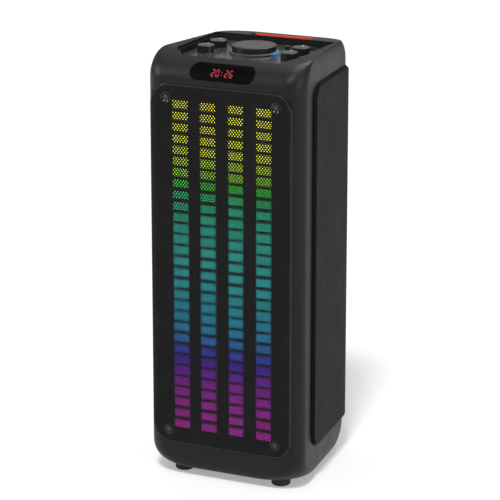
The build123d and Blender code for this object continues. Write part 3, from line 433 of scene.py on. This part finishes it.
def ring_glow(name, strength, centre):
    """Light guide round the jog dial: blue at its left and right, with green and cyan beside, dark between."""
    r = Recipe(name)
    x, y, _ = r.parts(r.centred(centre))
    turn = r.math("FRACT", r.math("ADD", r.math("DIVIDE", r.math("ARCTAN2", y, x), 2 * math.pi), 1.0))
    dark = (0.002, 0.003, 0.004)
    colour = r.ramp(turn, ((0.0, (0.03, 0.35, 1.0)), (0.03, (0.01, 0.55, 0.30)), (0.075, (0.01, 0.12, 0.05)),
                           (0.12, dark), (0.40, dark), (0.45, (0.01, 0.25, 0.25)), (0.485, (0.02, 0.35, 1.0)),
                           (0.53, (0.02, 0.30, 1.0)), (0.575, dark), (0.93, dark), (0.97, (0.02, 0.30, 1.0)),
                           (1.0, (0.03, 0.35, 1.0))))
    glow = r.blend(r.between(r.noise(2 * MM, 2), 0.0, 0.25), colour, (0.01, 0.02, 0.03))
    return r.done(Base_Color=(0.03, 0.035, 0.04, 1), Roughness=0.3, Emission_Color=glow, Emission_Strength=strength,
                  Coat_Weight=0.3)


def glowing(name, colour, strength):
    """A lit segment behind smoked plastic, a little uneven."""
    r = Recipe(name)
    tint = r.blend(r.between(r.noise(1.5 * MM, 2), 0.0, 1.0), lighter(colour, 0.75), colour)
    return r.done(Base_Color=rgba(lighter(colour, 0.2)), Roughness=0.35, Emission_Color=tint,
                  Emission_Strength=strength)


def printed(name, colour):
    """Screen-printed ink: slightly raised, with thin spots."""
    r = Recipe(name)
    thin = r.noise(0.5 * MM, 3, 0.6)
    return r.done(Base_Color=r.blend(r.between(thin, 0.0, 1.0), lighter(colour, 0.75), colour),
                  Roughness=0.55, Normal=r.bump(thin, 0.15, 0.02 * MM))


# ------------------------------------------------------------------ surfaces
def mesh_object(name, vertices, faces, finish):
    """A new mesh object at the origin, with one finish."""
    mesh = bpy.data.meshes.new(name)
    mesh.from_pydata(np.asarray(vertices, float).tolist(), [], faces)
    mesh.materials.append(finish)
    made = bpy.data.objects.new(name, mesh)
    bpy.context.scene.collection.objects.link(made)
    return made


def piece(name, vertices, faces, finish, body, slot, smooth=True, sharp=30.0):
    """A new object made of arrays of corners and faces of one size, that rides on a CAD body."""
    made = mesh_object(name, vertices, np.asarray(faces, int).tolist(), finish)
    mesh = made.data
    mesh.validate()
    mesh.polygons.foreach_set("use_smooth", np.full(len(mesh.polygons), smooth))
    if smooth:
        mesh.set_sharp_from_angle(angle=math.radians(sharp))
    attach(made, body)
    return made


def net(rows, columns):
    """Quads of a grid of rows x columns points, closed round its columns."""
    i, j = np.meshgrid(np.arange(rows - 1), np.arange(columns), indexing="ij")
    a = i * columns + j
    b = i * columns + (j + 1) % columns
    return np.stack([a, b, b + columns, a + columns], -1).reshape(-1, 4)


def rounded_outline(half_width, half_height, radius, corner_steps=12):
    """Points round a rectangle with round corners, and the outward direction at each.

    Each corner is a quarter circle: centre + radius * (cos a, sin a); the straight sides join their ends.
    """
    turn = np.linspace(0, np.pi / 2, corner_steps + 1)
    angles = np.concatenate([turn + quarter * np.pi / 2 for quarter in range(4)])
    out = np.stack([np.cos(angles), np.sin(angles)], -1)
    sign = np.repeat(np.array([[1, 1], [-1, 1], [-1, -1], [1, -1]]), corner_steps + 1, 0)
    centre = sign * np.array([half_width - radius, half_height - radius])
    return centre + radius * out, out


def carried(profile, outline, outward):
    """A closed profile of (how far in, how deep) carried round an outline: point = outline - in * outward."""
    profile = np.asarray(profile, float)
    spots = outline[None] - profile[:, None, :1] * outward[None]
    depth = np.repeat(profile[:, 1], len(outline)).reshape(len(profile), -1)
    return spots, depth


def turned(profile, steps, corners=6):
    """A profile of (radius, height) turned about Z: (r cos a, r sin a, h). A negative radius makes a polygon.

    For a polygon, r grows to its corners as r / cos(a mod one side - half a side).
    """
    profile = np.asarray(profile, float)
    angle = np.arange(steps) * 2 * np.pi / steps
    side = 2 * np.pi / corners
    poly = 1 / np.cos((angle % side) - side / 2)
    radius = np.where(profile[:, :1] < 0, -profile[:, :1] * poly[None], profile[:, :1] * np.ones(steps)[None])
    x, y = radius * np.cos(angle), radius * np.sin(angle)
    z = np.repeat(profile[:, 1], steps).reshape(-1, steps)
    return np.stack([x, y, z], -1).reshape(-1, 3), net(len(profile), steps)


def join(parts):
    """Several (corners, faces) put into one."""
    corners, faces, start = [], [], 0
    for c, f in parts:
        corners.append(np.asarray(c, float))
        faces.append(np.asarray(f, int) + start)
        start += len(c)
    return np.concatenate(corners), np.concatenate(faces)


def merged(corners, grid):
    """Put corners closer together than grid into one: which to keep, and each corner's place among those."""
    _, first, where = np.unique(np.round(corners / grid).astype(np.int64), axis=0, return_index=True,
                                return_inverse=True)
    return first, where.reshape(-1)


def smoothed(name, finish, slot, sharp=24.0):
    """A merged, smooth-shaded copy that replaces a CAD node: flat faces stay flat, round ones lose their facets."""
    source = NODES[name]
    mesh = source.data.copy()
    count = len(mesh.vertices)
    spots = np.empty(count * 3, np.float32)
    mesh.vertices.foreach_get("co", spots)
    spots = spots.reshape(-1, 3)
    used = np.empty(len(mesh.loops), np.int32)
    mesh.loops.foreach_get("vertex_index", used)
    first, where = merged(spots, 0.004 * MM)
    triangles = where[used].reshape(-1, 3)
    whole = (triangles[:, 0] != triangles[:, 1]) & (triangles[:, 1] != triangles[:, 2]) & (
        triangles[:, 2] != triangles[:, 0])
    made = piece(f"{name}_skin", spots[first], triangles[whole], finish, source["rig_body"], slot, sharp=sharp)
    weigh = made.modifiers.new("even_shading", "WEIGHTED_NORMAL")
    weigh.keep_sharp = True
    weigh.weight = 80
    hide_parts(name)
    return made


def coat(finish, *names):
    """Give CAD nodes a finish, in place of the plain one they came with."""
    for name in names:
        slots = NODES[name].data.materials
        slots.clear()
        slots.append(finish)


def crown_y(z):
    """Depth of the cabinet's front at a height: a quarter ellipse over the top of the front."""
    share = np.clip((np.asarray(z) - CROWN_BASE) / CROWN_RISE, 0, 1)
    return FRONT_Y + CROWN_DEPTH * (1 - np.sqrt(1 - share**2))


# ------------------------------------------------------------------ operators
class SPEAKER_OT_cabinet(bpy.types.Operator):
    """Finish the cabinet shells, the flank panels, the feet and the carry grip"""

    bl_idname = "speaker.cabinet"
    bl_label = "Cabinet"

    def execute(self, context):
        look = context.scene.speaker_cabinet
        shell = moulded("cabinet_plastic", look.shell_colour, look.roughness)
        # a darker, less glossy copy of the shell plastic: painted shade on the flank panels
        panel = moulded("panel_plastic_painted_shade", look.panel_shade_colour, look.roughness + 0.04, 0.9 * MM, 0.25, 0.03)
        for name in ("front_shell", "rear_shell"):
            smoothed(name, shell, "cabinet_black")
        for name in ("side_panel_left", "side_panel_right"):
            smoothed(name, panel, "cabinet_black")
        # the handle well is coloured darker than the shell: painted shade in the recess
        coat(moulded("well_plastic_painted_shade", lighter(look.shell_colour, 0.8), 0.5), "handle_well")
        coat(soft_grip("grip_rubber", look.grip_colour), "handle_grip")
        coat(rubber("foot_rubber"), "feet")
        return {"FINISHED"}


class SPEAKER_OT_grille(bpy.types.Operator):
    """Make the perforated steel grille with its rolled rim and pressed dimples"""

    bl_idname = "speaker.grille"
    bl_label = "Grille"

    def execute(self, context):
        size = context.scene.speaker_grille
        finish = powder_coat("grille_powder", size.colour)
        middle = (GRILLE_LOW + GRILLE_HIGH) / 2
        half_width = (GRILLE_HIGH.x - GRILLE_LOW.x) / 2
        half_height = (GRILLE_HIGH.z - GRILLE_LOW.z) / 2
        face_y = GRILLE_LOW.y
        cup_clearance = 8.0 * MM
        overlap = 1.0 * MM  # how far the field runs under the rim
        fine_grid = 0.01 * MM
        screws = np.array([(sx * GRILLE_SCREW_X, sz * GRILLE_SCREW_Z) for sx in SIDES for sz in SIDES])

        # lattice of diamonds: centres at (a (2 i + j mod 2), b j); each hole is its cell, shrunk
        a, b = size.pitch_across / 2, size.pitch_up / 2
        j = np.arange(-int(half_height / b), int(half_height / b) + 1)
        i = np.arange(-int(half_width / a) - 1, int(half_width / a) + 2)
        centre_x = (i[None, :] * 2 + (j[:, None] % 2)) * a
        centre_z = np.repeat(j * b, len(i)).reshape(len(j), -1)
        keep_in = size.rim - overlap
        corner_x = np.abs(centre_x) - (half_width - size.corner)
        corner_z = np.abs(centre_z) - (half_height - size.corner)
        outside = np.hypot(np.maximum(corner_x, 0), np.maximum(corner_z, 0))
        inside = np.where((corner_x > 0) & (corner_z > 0), outside < size.corner - keep_in,
                          (np.abs(centre_x) < half_width - keep_in) & (np.abs(centre_z) < half_height - keep_in))
        off_screw = np.min(np.hypot(centre_x[..., None] - screws[:, 0], centre_z[..., None] - screws[:, 1]), -1)
        inside &= off_screw > cup_clearance
        cells = np.stack([centre_x[inside], centre_z[inside]], -1)
        diamond = np.array([(a, 0), (0, b), (-a, 0), (0, -b)])
        for band in range(size.bands):
            low = -half_height + band * 2 * half_height / size.bands
            mine = cells[(cells[:, 1] >= low) & (cells[:, 1] < low + 2 * half_height / size.bands)]
            outer = mine[:, None] + diamond[None]
            inner = mine[:, None] + diamond[None] * size.open_share
            ring = np.concatenate([outer, inner], 1)
            front_y = np.full(ring.shape[:2], face_y)
            front = np.stack([ring[..., 0] + middle.x, front_y, ring[..., 1] + middle.z], -1)
            back = front + np.array([0, size.sheet, 0])
            corners = np.concatenate([front, back], 1).reshape(-1, 3)
            # each side of a cell: its front, its back and the wall of the hole
            one = []
            for k in range(4):
                n = (k + 1) % 4
                one += [(k, k + 4, n + 4, n), (k + 8, n + 8, n + 12, k + 12), (k + 4, k + 12, n + 12, n + 4)]
            faces = (np.arange(len(mine))[:, None, None] * 16 + np.array(one)[None]).reshape(-1, 4)
            # corners that neighbouring cells share become one
            first, where = merged(corners, fine_grid)
            piece(f"grille_field_{band + 1}", corners[first], where[faces], finish, "cabinet", "grille_steel",
                  smooth=False)
        # pressed cups: radius and depth, in millimetres, of a dish with a turned-over lip, turned round each screw
        dish = [(9.3, 0.6), (9.3, -0.10), (8.9, -0.22), (8.2, -0.15), (7.5, 0.35), (6.7, 1.15), (6.0, 1.65), (5.2, 1.8),
                (2.0, 1.8)]
        corners, faces = turned([(radius * MM, -depth * MM) for radius, depth in dish], 48)
        front = np.stack([corners[:, 0], -corners[:, 2], corners[:, 1]], -1)
        cups = [(front + np.array([middle.x + x, face_y, middle.z + z]), faces) for x, z in screws]
        piece("grille_cups", *join(cups), powder_coat("cup_powder", size.colour, 0.22, 0.35), "cabinet", "grille_steel",
              sharp=50)
        # rolled rim: a flat strip with a quarter-round outer edge, standing a little proud of the field
        roll_radius, proud = 1.2 * MM, 0.1 * MM
        outline, outward = rounded_outline(half_width, half_height, size.corner)
        roll = [(roll_radius * (1 - math.cos(t)), roll_radius * (1 - math.sin(t)) - proud)
                for t in np.linspace(0, math.pi / 2, 6)]
        profile = roll + [(size.rim, -proud), (size.rim, size.sheet), (0.0, size.sheet)]
        spots, depth = carried(profile, outline, outward)
        corners = np.stack([spots[..., 0] + middle.x, face_y + depth, spots[..., 1] + middle.z], -1).reshape(-1, 3)
        count = len(outline)
        faces = net(len(profile), count)
        closing = net(2, count)
        closing = np.where(closing < count, closing + (len(profile) - 1) * count, closing - count)
        rim = piece("grille_rim", corners, np.concatenate([faces, closing])[:, ::-1],
                    powder_coat("rim_powder", size.colour, 0.25, 0.3), "cabinet", "grille_steel", sharp=40)
        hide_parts("front_grille")
        return {"FINISHED"}


class SPEAKER_OT_light_blocks(bpy.types.Operator):
    """Light the four columns of blocks behind the grille"""

    bl_idname = "speaker.light_blocks"
    bl_label = "Light blocks"

    def execute(self, context):
        light = context.scene.speaker_light
        spare = (TILE_ROWS * TILE_PITCH - (TILE_HIGH.z - TILE_LOW.z)) / 2
        for column in range(1, 5):
            low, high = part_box(f"led_tiles_{column}")
            coat(light_block(f"block_glow_{column}", light.tile_strength, (low.x + high.x) / 2, (high.x - low.x) / 2,
                             low.z - spare, high.z + spare, TILE_ROWS), f"led_tiles_{column}")
        coat(board_laminate("strip_laminate", (0.02, 0.02, 0.02)), "led_strips")
        coat(moulded("carrier_plastic", (0.008, 0.008, 0.008), 0.7), "led_carrier")
        return {"FINISHED"}


class SPEAKER_OT_display(bpy.types.Operator):
    """Make the seven-segment figures behind the smoked lens"""

    bl_idname = "speaker.display"
    bl_label = "Display"

    def execute(self, context):
        light = context.scene.speaker_light
        smoked = polished("smoked_lens", (0.0015, 0.0015, 0.0018), 0.34, 0.0, 0.03)
        smoothed("display_window", smoked, "lens_dark")
        coat(board_laminate("display_laminate"), "display_module")
        height = light.digit_height
        width = height * 0.52
        bar = height * 0.10
        lit = {"0": "abcdef", "1": "bc", "2": "abged", "3": "abgcd", "4": "fgbc", "5": "afgcd", "6": "afgedc",
               "7": "abc", "8": "abcdefg", "9": "abcdfg"}
        ends = {"a": ((0, 1), (1, 1)), "b": ((1, 1), (1, .5)), "c": ((1, .5), (1, 0)), "d": ((0, 0), (1, 0)),
                "e": ((0, .5), (0, 0)), "f": ((0, 1), (0, .5)), "g": ((0, .5), (1, .5))}
        middle_z = (LENS_LOW.z + LENS_HIGH.z) / 2
        advance = width * 1.65
        text = light.shown
        start = -advance * (len(text) - 1) / 2
        outlines = []
        for place, figure in enumerate(text):
            left = start + place * advance - width / 2
            if figure == ":":
                for share in (0.3, 0.7):
                    t = np.arange(6) * np.pi / 3
                    outlines.append(np.stack([left + width / 2 + bar * np.cos(t),
                                              (share - 0.5) * height + bar * np.sin(t)], -1))
                continue
            for segment in lit[figure]:
                (x0, z0), (x1, z1) = ends[segment]
                p = np.array([left + x0 * width, (z0 - 0.5) * height])
                q = np.array([left + x1 * width, (z1 - 0.5) * height])
                along = (q - p) / np.linalg.norm(q - p)
                side = np.array([-along[1], along[0]]) * bar
                p, q = p + along * bar * 0.3, q - along * bar * 0.3
                outlines.append(np.array([p, p + along * bar + side, q - along * bar + side, q,
                                          q - along * bar - side, p + along * bar - side]))
        # each segment is a six-sided bar laid on the lens: its face follows the crown and stands a little proud
        proud, sunk = 0.15 * MM, 0.4 * MM
        corners, faces = [], []
        for number, outline in enumerate(outlines):
            area = np.sum(outline[:, 0] * np.roll(outline[:, 1], -1) - np.roll(outline[:, 0], -1) * outline[:, 1])
            outline = outline if area > 0 else outline[::-1]
            z = outline[:, 1] + middle_z
            y = crown_y(z)
            front = np.stack([outline[:, 0], y - proud, z], -1)
            back = np.stack([outline[:, 0], y + sunk, z], -1)
            base = number * 12
            corners += [front, back]
            faces += [[base + k for k in range(6)], [base + 11 - k for k in range(6)]]
            faces += [[base + k, base + 6 + k, base + 6 + (k + 1) % 6, base + (k + 1) % 6] for k in range(6)]
        made = mesh_object("display_figures", np.concatenate(corners), faces,
                           glowing("figure_glow", light.digit_colour, light.digit_strength))
        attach(made, "cabinet")
        return {"FINISHED"}


def flat_bars(bars, top, thickness=0.12 * MM):
    """Thin bars laid on a level face, each (x, y, direction, length, width): a rectangle turned in plan."""
    sunk = 0.2 * MM
    bars = np.asarray(bars, float)
    along = np.stack([np.cos(bars[:, 2]), np.sin(bars[:, 2])], -1) * bars[:, 3:4] / 2
    side = np.stack([-np.sin(bars[:, 2]), np.cos(bars[:, 2])], -1) * bars[:, 4:5] / 2
    middle = bars[:, :2]
    ring = np.stack([middle - along - side, middle + along - side, middle + along + side, middle - along + side], 1)
    low = np.concatenate([ring, np.full((*ring.shape[:2], 1), top - sunk)], -1)
    high = np.concatenate([ring, np.full((*ring.shape[:2], 1), top + thickness)], -1)
    corners = np.concatenate([low, high], 1).reshape(-1, 3)
    one = np.array([(0, 3, 2, 1), (4, 5, 6, 7)] + [(k, (k + 1) % 4, (k + 1) % 4 + 4, k + 4) for k in range(4)])
    faces = (np.arange(len(bars))[:, None, None] * 8 + one[None]).reshape(-1, 4)
    return corners, faces


def centre_of(name):
    low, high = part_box(name)
    return (low + high) / 2


class SPEAKER_OT_controls(bpy.types.Operator):
    """Finish the deck, the plate and the controls, and print their scales and pointers"""

    bl_idname = "speaker.controls"
    bl_label = "Controls"

    def execute(self, context):
        look = context.scene.speaker_controls
        light = context.scene.speaker_light
        ink = printed("mark_ink", look.mark_colour)
        smoothed("top_deck", moulded("deck_plastic", (0.010, 0.010, 0.011), 0.4), "deck_black")
        coat(polished("plate_gloss", look.plate_colour, 0.22, 0.15, 0.35), "control_plate")
        pointer_middle, pointer_length, pointer_width = 8.6 * MM, 7.0 * MM, 1.1 * MM
        scale_radius, long_tick, short_tick, tick_width = 17.6 * MM, 2.6 * MM, 1.5 * MM, 0.55 * MM
        for knob in KNOBS:
            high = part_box(f"{knob}_knob")[1]
            middle = centre_of(f"{knob}_knob")
            coat(rotary_cap(f"{knob}_cap", look.cap_colour, look.skirt_colour, middle), f"{knob}_knob")
            coat(turned_metal(f"{knob}_steel", (0.5, 0.5, 0.5), middle), f"{knob}_shaft")
            pointer = [(middle.x, middle.y + pointer_middle, math.pi / 2, pointer_length, pointer_width)]
            piece(f"{knob}_pointer", *flat_bars(pointer, high.z), ink, f"{knob}_control", "knob_black", smooth=False)
            scale = []
            for tick in range(11):
                turn = math.radians(90 + 150 - 30 * tick)
                length = long_tick if tick in (0, 5, 10) else short_tick
                reach = scale_radius + length / 2
                scale.append((middle.x + reach * math.cos(turn), middle.y + reach * math.sin(turn), turn, length,
                              tick_width))
            piece(f"{knob}_scale", *flat_bars(scale, PLATE_TOP), ink, "cabinet", "plate_gloss", smooth=False)
        jog = centre_of("jog_dial")
        coat(rotary_cap("jog_cap", look.cap_colour, look.skirt_colour, jog), "jog_dial")
        coat(turned_metal("jog_steel", (0.5, 0.5, 0.5), jog), "jog_shaft", "jog_encoder", "potentiometers")
        coat(ring_glow("ring_glow", light.ring_strength, centre_of("jog_light_ring")), "jog_light_ring")
        # a raised lip round the jog's top and a shallow finger dish near its edge
        section = np.array([(33.6, 0), (33.9, 0.25), (34.5, 0.35), (35.1, 0.25), (35.4, 0), (34.5, -0.4), (33.6, 0)])
        lip, faces = turned(section * MM, 96)
        piece("jog_lip", lip + np.array([jog.x, jog.y, JOG_TOP]), faces[:, ::-1], rubber("jog_lip_rubber"),
              "jog_control", "knob_black")
        section = np.array([(7.2, -0.3), (7.2, 0.10), (6.6, 0.30), (6.0, 0.22), (4.0, 0.08), (0.05, 0.02)])
        dish_offset = 22 * MM
        dish, faces = turned(section * MM, 48)
        piece("jog_dish", dish + np.array([jog.x, jog.y + dish_offset, JOG_TOP]), faces,
              polished("dish_gloss", look.skirt_colour, 0.2, 0.2), "jog_control", "knob_black")
        # two bent marks outside the ring, one on each side
        arrow_radius = 48.5 * MM
        arrows = [(jog.x + arrow_radius * math.cos(t), jog.y + arrow_radius * math.sin(t), t + math.pi / 2 + bend,
                   3.0 * MM, 0.6 * MM) for t in (0.62, 2.52) for bend in (0.5, -0.5)]
        piece("jog_marks", *flat_bars(arrows, PLATE_TOP), ink, "cabinet", "plate_gloss", smooth=False)
        button = centre_of("mode_button")
        coat(rotary_cap("button_cap", look.skirt_colour, look.skirt_colour, button), "mode_button")
        usb, jack = centre_of("usb_port"), centre_of("mic_jack")
        # bars under the socket and the jack, and above the button: place from its middle, length and width
        marks = [(usb, 0, -7.5, 9, 0.6), (usb, -2, -9.3, 2, 0.6), (usb, 3, -9.3, 2.6, 0.6),
                 (jack, 0, -13.5, 6, 0.7), (jack, 0, -15.2, 3, 0.7),
                 (button, -3.5, 8, 2.4, 0.6), (button, 0, 8, 2.4, 0.6), (button, 3.5, 8, 2.4, 0.6)]
        bars = [(spot.x + x * MM, spot.y + y * MM, 0, length * MM, width * MM) for spot, x, y, length, width in marks]
        piece("socket_marks", *flat_bars(bars, PLATE_TOP), ink, "cabinet", "plate_gloss", smooth=False)
        coat(moulded("connector_plastic", (0.012, 0.012, 0.012), 0.35), "usb_port", "mic_jack", "button_switch",
             "rear_jacks", "mains_inlet", "rocker_housing")
        coat(board_laminate("control_laminate"), "control_board")
        return {"FINISHED"}


class SPEAKER_OT_screws(bpy.types.Operator):
    """Make the heads of the visible screws, each with a hexagon socket"""

    bl_idname = "speaker.screws"
    bl_label = "Screws"

    def execute(self, context):
        steel = powder_coat("screw_oxide", (0.03, 0.03, 0.031), 0.3, 0.5)
        coat(steel, "grille_screws", "deck_screws", "case_screws")
        # dome head with a hexagon socket: bottom, socket wall, rim, dome and skirt, turned about the screw's axis
        head = np.array([(0.02, 0.1), (-1.45, 0.1), (-1.45, 1.15), (2.4, 1.15), (3.0, 0.85), (3.5, 0.3), (3.6, -0.4)])
        rail_head_share, sunk = 0.82, 0.3 * MM
        corners, faces = turned(head * MM, 36)
        front = np.stack([corners[:, 0], -corners[:, 2], corners[:, 1]], -1)
        face_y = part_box("grille_screws")[0].y
        heads = [(front + np.array([sx * GRILLE_SCREW_X, face_y + sunk, GRILLE_MIDDLE_Z + sz * GRILLE_SCREW_Z]),
                  faces[:, ::-1]) for sx in SIDES for sz in SIDES]
        piece("grille_screw_heads", *join(heads), steel, "cabinet", "screw_black", sharp=35)
        rail_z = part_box("deck_screws")[1].z - 0.2 * MM
        heads = [(corners * rail_head_share + np.array([sx * RAIL_SCREW_X, RAIL_SCREW_Y, rail_z]), faces[:, ::-1])
                 for sx in SIDES]
        piece("rail_screw_heads", *join(heads), steel, "cabinet", "screw_black", sharp=35)
        return {"FINISHED"}


class SPEAKER_OT_drivers(bpy.types.Operator):
    """Finish the baffle, the woofers, the horn and the port"""

    bl_idname = "speaker.drivers"
    bl_label = "Drivers"

    def execute(self, context):
        coat(fibre_board("baffle_fibre"), "baffle_board")
        coat(powder_coat("basket_coat", (0.02, 0.02, 0.02)), "woofer_frames", "woofer_magnets", "tweeter_driver")
        coat(pulp_cone("cone_pulp"), "upper_woofer_cone", "lower_woofer_cone")
        coat(rubber("surround_rubber"), "upper_woofer_surround", "lower_woofer_surround")
        coat(moulded("horn_moulding", (0.014, 0.014, 0.014), 0.4), "tweeter_horn", "port_tube")
        return {"FINISHED"}


class SPEAKER_OT_rear(bpy.types.Operator):
    """Finish the connection panel, the rocker and the electronics inside"""

    bl_idname = "speaker.rear"
    bl_label = "Rear panel and electronics"

    def execute(self, context):
        coat(moulded("panel_grain", (0.013, 0.013, 0.0135), 0.55, 1.1 * MM, 0.5), "input_panel")
        coat(polished("rocker_gloss", (0.012, 0.012, 0.012), 0.2, 0.2), "power_rocker")
        coat(board_laminate("amplifier_laminate"), "amplifier_board", "power_supply")
        coat(extruded_aluminium("heat_sink_metal"), "heat_sink")
        coat(shrink_wrap("battery_film"), "battery_pack")
        coat(moulded("bracket_plastic", (0.02, 0.02, 0.02), 0.6), "battery_bracket")
        return {"FINISHED"}


class SPEAKER_OT_stage(bpy.types.Operator):
    """Make the pale floor, the soft lights and the camera"""

    bl_idname = "speaker.stage"
    bl_label = "Stage"

    def light(self, name, power, size, place, aim, unlit=None):
        """A rectangle of light, or a distant light size degrees wide; it may leave the floor unlit."""
        data = bpy.data.lights.new(name, "AREA" if isinstance(size, tuple) else "SUN")
        data.energy = power
        if isinstance(size, tuple):
            data.shape, data.size, data.size_y = "RECTANGLE", *size
        else:
            data.angle = math.radians(size)
        lamp = bpy.data.objects.new(name, data)
        if unlit:
            lamp.light_linking.receiver_collection = unlit
        bpy.context.scene.collection.objects.link(lamp)
        lamp.location = place
        lamp.rotation_euler = (Vector(aim) - Vector(place)).to_track_quat("-Z", "Y").to_euler()

    def execute(self, context):
        scene = context.scene
        stage = scene.speaker_stage
        r = Recipe("floor_paper")
        white = r.blend(r.between(r.noise(0.4, 2), 0.0, 1.0), (0.90, 0.90, 0.90), (0.92, 0.92, 0.92))
        paper = r.done(Base_Color=white, Roughness=0.9, Specular_IOR_Level=0.0, Emission_Color=(1, 1, 1, 1),
                       Emission_Strength=stage.floor_glow)
        # level paper: a disc of rings whose radius doubles outwards, r (cos a, sin a)
        corners, faces = turned([(0.01, 0.0)] + [(0.25 * 2**k, 0.0) for k in range(8)], 48)
        floor = mesh_object("floor", corners, faces[:, ::-1].tolist(), paper)
        unlit = bpy.data.collections.new("floor_left_out")
        unlit.objects.link(floor)
        unlit.collection_objects[0].light_linking.link_state = "EXCLUDE"
        self.light("key_light", stage.key_strength, 11.0, (0.85, -3.0, 5.0), (0, 0, 0.3))
        self.light("strip_light", stage.strip_power, (0.25, 1.1), (2.6, -0.55, 1.35), (0.1, 0, 0.6), unlit)
        self.light("fill_light", stage.fill_power, (1.2, 1.2), (-2.6, -1.7, 2.4), (0, 0, 0.6), unlit)
        self.light("top_light", stage.top_power, (1.4, 1.4), (0.2, 0.9, 2.6), (0, 0, 0.7), unlit)
        world = bpy.data.worlds.new("surround")
        world.use_nodes = True
        sky = world.node_tree.nodes["Background"].inputs
        sky["Color"].default_value = (1, 1, 1, 1)
        sky["Strength"].default_value = stage.surround
        scene.world = world
        scene.view_settings.view_transform = "Standard"
        data = bpy.data.cameras.new("camera")
        data.sensor_width, data.lens = 36.0, stage.lens
        data.clip_end = 60
        camera = bpy.data.objects.new("camera", data)
        scene.collection.objects.link(camera)
        place, aim = Vector((1.750, -3.739, 1.5485)), Vector((0.0379, -0.105, 0.4121))
        camera.location = place
        camera.rotation_euler = (aim - place).to_track_quat("-Z", "Y").to_euler()
        scene.camera = camera
        return {"FINISHED"}


OPERATORS = (SPEAKER_OT_stage, SPEAKER_OT_cabinet, SPEAKER_OT_grille, SPEAKER_OT_light_blocks, SPEAKER_OT_display,
             SPEAKER_OT_controls, SPEAKER_OT_screws, SPEAKER_OT_drivers, SPEAKER_OT_rear)
SETTINGS = (("speaker_cabinet", CabinetFinish), ("speaker_grille", GrilleSizes), ("speaker_light", LightSettings),
            ("speaker_controls", ControlFinish), ("speaker_stage", StageSettings))


class SPEAKER_PT_panel(bpy.types.Panel):
    """Everything that makes up the speaker's looks"""

    bl_idname = "SPEAKER_PT_panel"
    bl_label = "Party speaker"
    bl_space_type = "VIEW_3D"
    bl_region_type = "UI"
    bl_category = "Speaker"

    def draw(self, context):
        for name, group in SETTINGS:
            box = self.layout.box()
            for key in group.__annotations__:
                box.prop(getattr(context.scene, name), key)
        for operator in OPERATORS:
            self.layout.operator(operator.bl_idname)


def register():
    for name, group in SETTINGS:
        bpy.utils.register_class(group)
        setattr(bpy.types.Scene, name, PointerProperty(type=group))
    for operator in OPERATORS:
        bpy.utils.register_class(operator)
    bpy.utils.register_class(SPEAKER_PT_panel)


def unregister():
    bpy.utils.unregister_class(SPEAKER_PT_panel)
    for operator in reversed(OPERATORS):
        bpy.utils.unregister_class(operator)
    for name, group in reversed(SETTINGS):
        delattr(bpy.types.Scene, name)
        bpy.utils.unregister_class(group)


def main():
    register()
    for operator in OPERATORS:
        family, action = operator.bl_idname.split(".")
        getattr(getattr(bpy.ops, family), action)()


if __name__ == "__main__":
    main()
